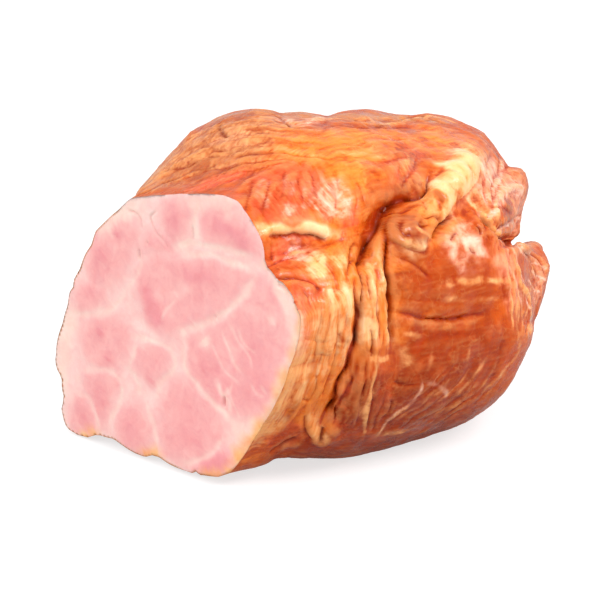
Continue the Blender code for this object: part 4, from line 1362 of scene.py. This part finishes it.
# %% Muscles of the face, each a ring of pixels, and its colours: mask, strength, width in mm, then pixels
MUSCLES = (
    ((100, 232), (112, 222), (126, 222), (138, 232), (133, 247), (126, 264), (117, 279), (104, 286),
        (94, 282), (89, 268), (92, 250)),
    ((82, 287), (95, 285), (104, 291), (100, 303), (90, 311), (79, 310), (78, 297)),
    ((89, 322), (106, 317), (122, 321), (130, 334), (128, 350), (120, 363), (104, 367), (91, 360), (85, 342)),
    ((145, 263), (158, 254), (180, 258), (215, 262), (238, 268), (250, 276), (238, 296), (221, 312),
        (204, 321), (184, 327), (166, 331), (151, 318), (142, 296), (140, 277)),
    ((168, 204), (181, 201), (190, 206), (189, 224), (187, 238), (176, 242), (168, 232), (165, 216)),
    ((204, 208), (220, 204), (237, 210), (246, 228), (257, 241), (260, 252), (250, 251), (228, 245),
        (206, 239), (203, 224)),
    ((189, 340), (206, 329), (224, 321), (242, 304), (258, 283), (270, 284), (282, 300), (288, 322),
        (288, 350), (284, 378), (276, 400), (262, 414), (243, 417), (233, 411), (217, 403), (203, 386),
        (191, 370), (187, 352)),
    ((176, 384), (192, 384), (204, 394), (216, 411), (225, 424), (221, 439), (205, 451), (188, 459),
        (172, 455), (163, 440), (161, 418), (165, 400)),
    ((139, 350), (152, 345), (165, 351), (169, 366), (160, 375), (146, 375), (138, 364)),
    ((86, 374), (111, 372), (121, 385), (110, 398), (107, 416), (102, 425), (97, 418), (90, 396)),
    ((121, 413), (136, 407), (145, 414), (150, 432), (141, 446), (127, 445), (120, 432)),
    ((76, 397), (83, 395), (94, 416), (94, 430), (76, 429), (74, 411)),
    ((194, 467), (212, 459), (229, 452), (229, 464), (210, 472)),
    ((144, 237), (160, 235), (172, 240), (170, 249), (156, 251), (145, 248)),
    ((195, 353), (204, 351), (211, 362), (213, 384), (207, 393), (199, 380), (194, 366)),
)
FACE_PAINT = (
    ("deep", 0.9, 3.6, ((119, 231), (118, 236))),
    ("deep", 0.9, 4.2, ((106, 252), (102, 262))),
    ("deep", 0.5, 4, ((94, 290), (88, 297))),
    ("deep", 0.9, 4, ((102, 330), (100, 336))),
    ("deep", 0.9, 3, ((108, 357), (108, 361))),
    ("deep", 0.9, 4.5, ((146, 284), (152, 306), (163, 326))),
    ("deep", 0.7, 5, ((184, 276), (214, 276))),
    ("deep", 0.7, 3.5, ((178, 208), (175, 224), (178, 238))),
    ("deep", 0.8, 4, ((211, 222), (230, 230), (252, 246))),
    ("deep", 0.55, 9, ((250, 340), (258, 372), (252, 402))),
    ("deep", 0.5, 7, ((205, 345), (216, 375), (232, 400))),
    ("deep", 0.4, 9, ((190, 400), (190, 425), (196, 446))),
    ("deep", 0.8, 3, ((152, 378), (150, 383))),
    ("deep", 0.5, 4, ((98, 384), (104, 410))),
    ("deep", 0.6, 5, ((128, 421), (136, 438))),
    ("deep", 0.4, 4, ((84, 402), (84, 426))),
    ("deep", 1.0, 4, ((200, 468), (221, 461), (228, 456))),
    ("deep", 0.7, 3.5, ((202, 360), (208, 370))),
    ("seam", 0.85, 2.0, ((197, 204), (195, 224), (199, 242))),
    ("seam", 0.77, 1.4, ((176, 246), (199, 244), (227, 250), (251, 256))),
    ("seam", 0.77, 1.4, ((184, 254), (216, 256), (232, 262), (256, 269))),
    ("seam", 0.77, 1.6, ((256, 277), (239, 300), (222, 316), (206, 324), (181, 330))),
    ("seam", 0.85, 1.9, ((181, 330), (186, 335))),
    ("seam", 0.77, 1.4, ((186, 335), (184, 355), (189, 373), (201, 388), (214, 405), (225, 411), (232, 421))),
    ("seam", 0.68, 1.5, ((127, 289), (111, 308), (91, 315), (72, 312))),
    ("seam", 0.68, 1.2, ((134, 337), (150, 340), (167, 346), (176, 366), (162, 382), (158, 394))),
    ("seam", 0.59, 1.1, ((128, 369), (135, 378), (140, 387), (137, 394))),
    ("seam", 0.59, 1.1, ((123, 384), (121, 398), (116, 412), (110, 426))),
    ("seam", 0.59, 1.1, ((148, 403), (152, 422), (159, 442))),
    ("seam", 0.59, 1.2, ((225, 439), (208, 456), (180, 464))),
    ("seam", 0.77, 1.2, ((218, 382), (224, 394), (230, 388))),
    ("seam", 0.77, 1.2, ((224, 394), (230, 402), (230, 413))),
    ("seam", 0.51, 1.1, ((135, 346), (132, 360), (128, 369))),
    ("seam", 0.51, 1.1, ((82, 372), (96, 369), (112, 371), (124, 384))),
    ("seam", 0.51, 1.1, ((78, 392), (90, 398), (97, 416), (97, 430))),
    ("seam", 0.51, 1.2, ((142, 256), (140, 270), (127, 289))),
    ("seam", 0.5, 0.8, ((223, 331), (228, 345), (234, 358), (243, 374))),
    ("seam", 0.45, 0.7, ((232, 324), (238, 340), (248, 352), (252, 366))),
    ("seam", 0.4, 0.7, ((214, 344), (220, 360), (228, 372), (240, 384))),
    ("seam", 0.4, 0.7, ((240, 330), (247, 344), (256, 354))),
    ("seam", 0.45, 0.7, ((262, 386), (268, 394))),
    ("seam", 0.4, 0.7, ((252, 384), (259, 392), (266, 396))),
    ("seam", 0.7, 1.0, ((276, 291), (284, 300), (288, 312))),
    ("seam", 0.5, 0.8, ((216, 380), (221, 388), (226, 396), (227, 410))),
    ("seam", 0.5, 0.8, ((233, 384), (232, 396), (236, 408), (240, 420))),
    ("seam", 0.4, 0.8, ((163, 320), (168, 310), (176, 300))),
    ("seam", 0.35, 2.4, ((176, 296), (182, 288), (190, 290))),
    ("seam", 0.59, 2.5, ((273, 316), (275, 326))),
    ("fat", 0.9, 4, ((76, 310), (66, 335), (62, 362), (66, 392))),
    ("fat", 0.8, 5, ((234, 438), (250, 432), (266, 424))),
    ("fat", 0.8, 2.6, ((264, 262), (280, 288), (292, 318), (295, 350), (286, 386), (271, 414), (248, 440))),
    ("fat", 0.8, 4, ((100, 226), (116, 214), (140, 205))),
    ("fat", 0.7, 4, ((184, 201), (214, 199), (236, 208))),
    ("fat", 0.7, 3.5, ((204, 338), (208, 345))),
    ("fat", 0.7, 3.5, ((184, 240), (186, 246))),
    ("amber", 0.7, 1.8, ((268, 264), (282, 276), (297, 298), (301, 316), (300, 342))),
    ("amber", 1.0, 3.4, ((300, 342), (291, 380), (274, 415), (248, 446), (232, 468))),
    ("amber", 0.9, 3, ((76, 436), (90, 437), (98, 434))),
    ("amber", 0.9, 3, ((142, 456), (152, 456), (160, 457))),
    ("amber", 0.9, 2.6, ((204, 476), (226, 476), (236, 468))),
)
FACE_CRACKS = (
    (0.6, 0.6, ((126, 211), (133, 213), (140, 219), (143, 229))),
    (0.6, 0.6, ((158, 210), (153, 214), (150, 219), (154, 229), (160, 236), (166, 242), (171, 251))),
    (0.5, 0.8, ((148, 243), (149, 246))),
    (0.6, 0.8, ((139, 247), (140, 259))),
    (0.5, 0.8, ((192.5, 226), (192.5, 240))),
    (1.0, 1.2, ((225, 396), (225, 407))),
    (0.7, 0.9, ((216, 316), (217, 319))),
    (0.9, 0.9, ((278, 285), (282, 287), (286, 291))),
    (0.9, 0.9, ((295, 300), (297, 306), (298, 311))),
)

# %% Draw the muscles and seams
MUSCLE_EDGE = 5.4
MUSCLE_GROWTH = 2.0
MUSCLE_RISE, DEEP_RISE, SEAM_SINK = 0.5, 0.2, 0.2
FLAT_RIM = 1.2
for outline in MUSCLES:
    closed = smooth_line(outline + outline[:1], 4)[:-1]
    face.fill("muscle", np.array([on_body(pixel) for pixel in closed]), MUSCLE_EDGE, MUSCLE_GROWTH)
paint_rows(face, FACE_PAINT, seen)
for depth, width, pixels in FACE_CRACKS:
    face.crease(seen(*pixels), depth, width, pinch=0.3, line=0.7, lip=0.1)
masks = face.masks
face.rise += MUSCLE_RISE * masks["muscle"] + DEEP_RISE * masks["deep"] - SEAM_SINK * masks["seam"]
inner = eased(from_rim / FLAT_RIM)
face.rise *= inner
face.slide *= inner[:, None]
print("face masks:", sorted(face.masks))

# %% Face mesh
FACE_BACK = 1.6
BACK_INSET = 0.8
shaped = face.shaped()
place_of_rim = [int(np.linalg.norm(face_points - place, axis=1).argmin()) for place in rim]
face_back = rim + inward * BACK_INSET + (0, FACE_BACK, 0)
points = np.concatenate([shaped, face_back, [rim.mean(axis=0) + (0, FACE_BACK, 0)]])
back_numbers = list(range(len(shaped), len(shaped) + ROUND))
next_rim, next_back = np.roll(place_of_rim, -1).tolist(), np.roll(back_numbers, -1).tolist()
faces = face_triangles + [(a, c, d, b) for a, b, c, d in zip(place_of_rim, next_rim, back_numbers, next_back)]
faces += fan_faces(back_numbers, len(points) - 1, flip=False)
cut = make_piece("cut_face", points, faces, face.masks)
print("cut face:", len(points), "points")

# %% Cured pink meat
FACE_BASE = ("#F8C0BA", "#FCD6CE")
FACE_LAYERS = (
    ("muscle", "#EE9C9E", "#FABAB4"),
    ("deep", "#E88C90", "#F09CA0"),
    ("seam", "#F8C8BC", "#FCDCD0"),
    ("fat", "#F9CCBE", "#FDDACC"),
    ("amber", "#F79C50", "#FFC484"),
)
FIBRE = 1.1 * MM
MOTTLE = 14.0 * MM
CLOUD = 5.0 * MM
FACE_RAGGED = 1.6
# Painted shade for the cracks of the cut face.
CRACK_SHADE, CRACK_SHADE_COVER = "#D07C74", 0.7
RIM_SMOKE, RIM_COVER = "#B06A34", 0.9


def face_material():
    """Cured, cooked meat cut by a knife: matt-moist, translucent, with the ends of its fibres showing."""
    material, put = blank_material("cured_pork_meat")
    place = put("ShaderNodeTexCoord", out="Object")
    mottle = put("ShaderNodeTexNoise", {"Vector": place, "Scale": 1 / MOTTLE, "Detail": 5.0})
    fibre = put("ShaderNodeTexNoise", {"Vector": place, "Scale": 1 / FIBRE, "Detail": 3.0})
    cloud = {"Vector": place, "Scale": 1 / CLOUD, "Detail": 4.0, "Distortion": 0.8}
    cloud = put("ShaderNodeTexNoise", cloud)
    tone = put("ShaderNodeMix", {0: 0.45, 2: mottle, 3: cloud})
    tone = put("ShaderNodeMix", {0: 0.1, 2: tone, 3: fibre})
    tone = put("ShaderNodeMapRange", {"Value": tone, 1: 0.38, 2: 0.62})
    base = {0: tone, 6: linear(FACE_BASE[0]), 7: linear(FACE_BASE[1])}
    colour = put("ShaderNodeMix", base, data_type="RGBA", out=2)
    ragged = put("ShaderNodeMath", {0: mottle, 1: 0.5}, operation="SUBTRACT")
    for mask, deep, light in FACE_LAYERS:
        cover = put("ShaderNodeAttribute", attribute_name=mask, out="Fac")
        worn = {0: ragged, 1: FACE_RAGGED, 2: 1.0}
        worn = put("ShaderNodeMath", worn, operation="MULTIPLY_ADD")
        worn = put("ShaderNodeMath", {0: worn, 1: cover}, operation="MULTIPLY", use_clamp=True)
        shade = put("ShaderNodeMix", {0: tone, 6: linear(deep), 7: linear(light)}, data_type="RGBA", out=2)
        colour = put("ShaderNodeMix", {0: worn, 6: colour, 7: shade}, data_type="RGBA", out=2)
    # Painted shade in the cracks of the cut face.
    crease_shade = put("ShaderNodeAttribute", attribute_name="crease_shade", out="Fac")
    crease_shade = put("ShaderNodeMapRange", {"Value": crease_shade, 1: 0.1, 2: 1.0, 4: CRACK_SHADE_COVER})
    colour = put("ShaderNodeMix", {0: crease_shade, 6: colour, 7: linear(CRACK_SHADE)}, data_type="RGBA", out=2)
    rim_edge = put("ShaderNodeAttribute", attribute_name="rim", out="Fac")
    rim_edge = put("ShaderNodeMath", {0: mottle, 1: rim_edge}, operation="MULTIPLY")
    rim_edge = put("ShaderNodeMapRange", {"Value": rim_edge, 1: 0.2, 2: 0.45, 4: RIM_COVER})
    colour = put("ShaderNodeMix", {0: rim_edge, 6: colour, 7: linear(RIM_SMOKE)}, data_type="RGBA", out=2)
    bump = put("ShaderNodeBump", {"Height": fibre, "Strength": 0.25, "Distance": 0.3 * MM})
    shader = put("ShaderNodeBsdfPrincipled", {
        "Base Color": colour,
        "Roughness": 0.5,
        "IOR": 1.42,
        "Subsurface Weight": 0.25,
        "Subsurface Radius": (1.0, 0.35, 0.25),
        "Subsurface Scale": 3.0 * MM,
        "Coat Weight": 0.1,
        "Coat Roughness": 0.4,
        "Normal": bump,
    })
    put("ShaderNodeOutputMaterial", {"Surface": shader})
    return material


cut.data.materials.append(face_material())
print("face finished,", len(FACE_LAYERS), "layers of colour")

# %% [markdown]
# ## Light and floor
# A white table in a white room. The sky is bright and even, one very soft sun from the upper left gives the
# folds gentle shadows, and one small lamp on the right puts glints on the wet patches.

# %% Floor
FLOOR = 3.0
PAPER = {
    "Base Color": (0.4, 0.4, 0.4, 1),
    "Roughness": 0.9,
    "Specular IOR Level": 0.1,
    "Emission Color": (1, 1, 1, 1),
}
GLOW_ON_MEAT, GLOW_SEEN = 0.1, 0.7
floor_mesh = bpy.data.meshes.new("floor")
corners = [(-FLOOR, -FLOOR, 0), (FLOOR, -FLOOR, 0), (FLOOR, FLOOR, 0), (-FLOOR, FLOOR, 0)]
floor_mesh.from_pydata(corners, [], [(0, 1, 2, 3)])
floor = bpy.data.objects.new("floor", floor_mesh)
bpy.context.scene.collection.objects.link(floor)
paper = bpy.data.materials.new("white_paper")
paper.use_nodes = True
paper_sockets = paper.node_tree.nodes["Principled BSDF"].inputs
for socket, value in PAPER.items():
    paper_sockets[socket].default_value = value
put = adder(paper.node_tree)
path_kind = put("ShaderNodeLightPath", out="Is Camera Ray")
glow = {"Value": path_kind, 3: GLOW_ON_MEAT, 4: GLOW_SEEN}
glow = put("ShaderNodeMapRange", glow)
paper.node_tree.links.new(glow, paper_sockets["Emission Strength"])
floor_mesh.materials.append(paper)
print("floor:", 2 * FLOOR, "m wide")

# %% Sky and lamps
SKY = 0.76
SUN_STRENGTH = 1.6
SUN_SOFTNESS = np.radians(60.0)
SUN_FROM = (0.6, -0.9, 0.45)
GLINT_WATTS = 3.6
GLINT_SIZE = 0.3
GLINT_FROM = (0.5, 0.4, 0.4)
world = bpy.data.worlds.new("white_room")
world.use_nodes = True
world.node_tree.nodes["Background"].inputs["Color"].default_value = (1, 1, 1, 1)
world.node_tree.nodes["Background"].inputs["Strength"].default_value = SKY
bpy.context.scene.world = world


def add_lamp(name, kind, energy, come_from):
    """A lamp that shines at the meat from metres towards the camera, to its right and up."""
    ahead, right, up = come_from
    lamp_data = bpy.data.lights.new(name, kind)
    lamp_data.energy = energy
    lamp = bpy.data.objects.new(name, lamp_data)
    lamp.location = toward_camera * ahead + frame_right * right + frame_up * up
    lamp.rotation_euler = lamp.location.to_track_quat("Z", "Y").to_euler()
    bpy.context.scene.collection.objects.link(lamp)
    return lamp_data


add_lamp("window", "SUN", SUN_STRENGTH, SUN_FROM).angle = SUN_SOFTNESS
add_lamp("glint", "AREA", GLINT_WATTS, GLINT_FROM).size = GLINT_SIZE
bpy.context.scene.view_settings.view_transform = "Standard"
print("sky", SKY, "sun", SUN_STRENGTH, "glint", GLINT_WATTS)

# %% Hand over
for piece in (rind, cut):
    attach(piece, "root")
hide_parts("pork_collar")
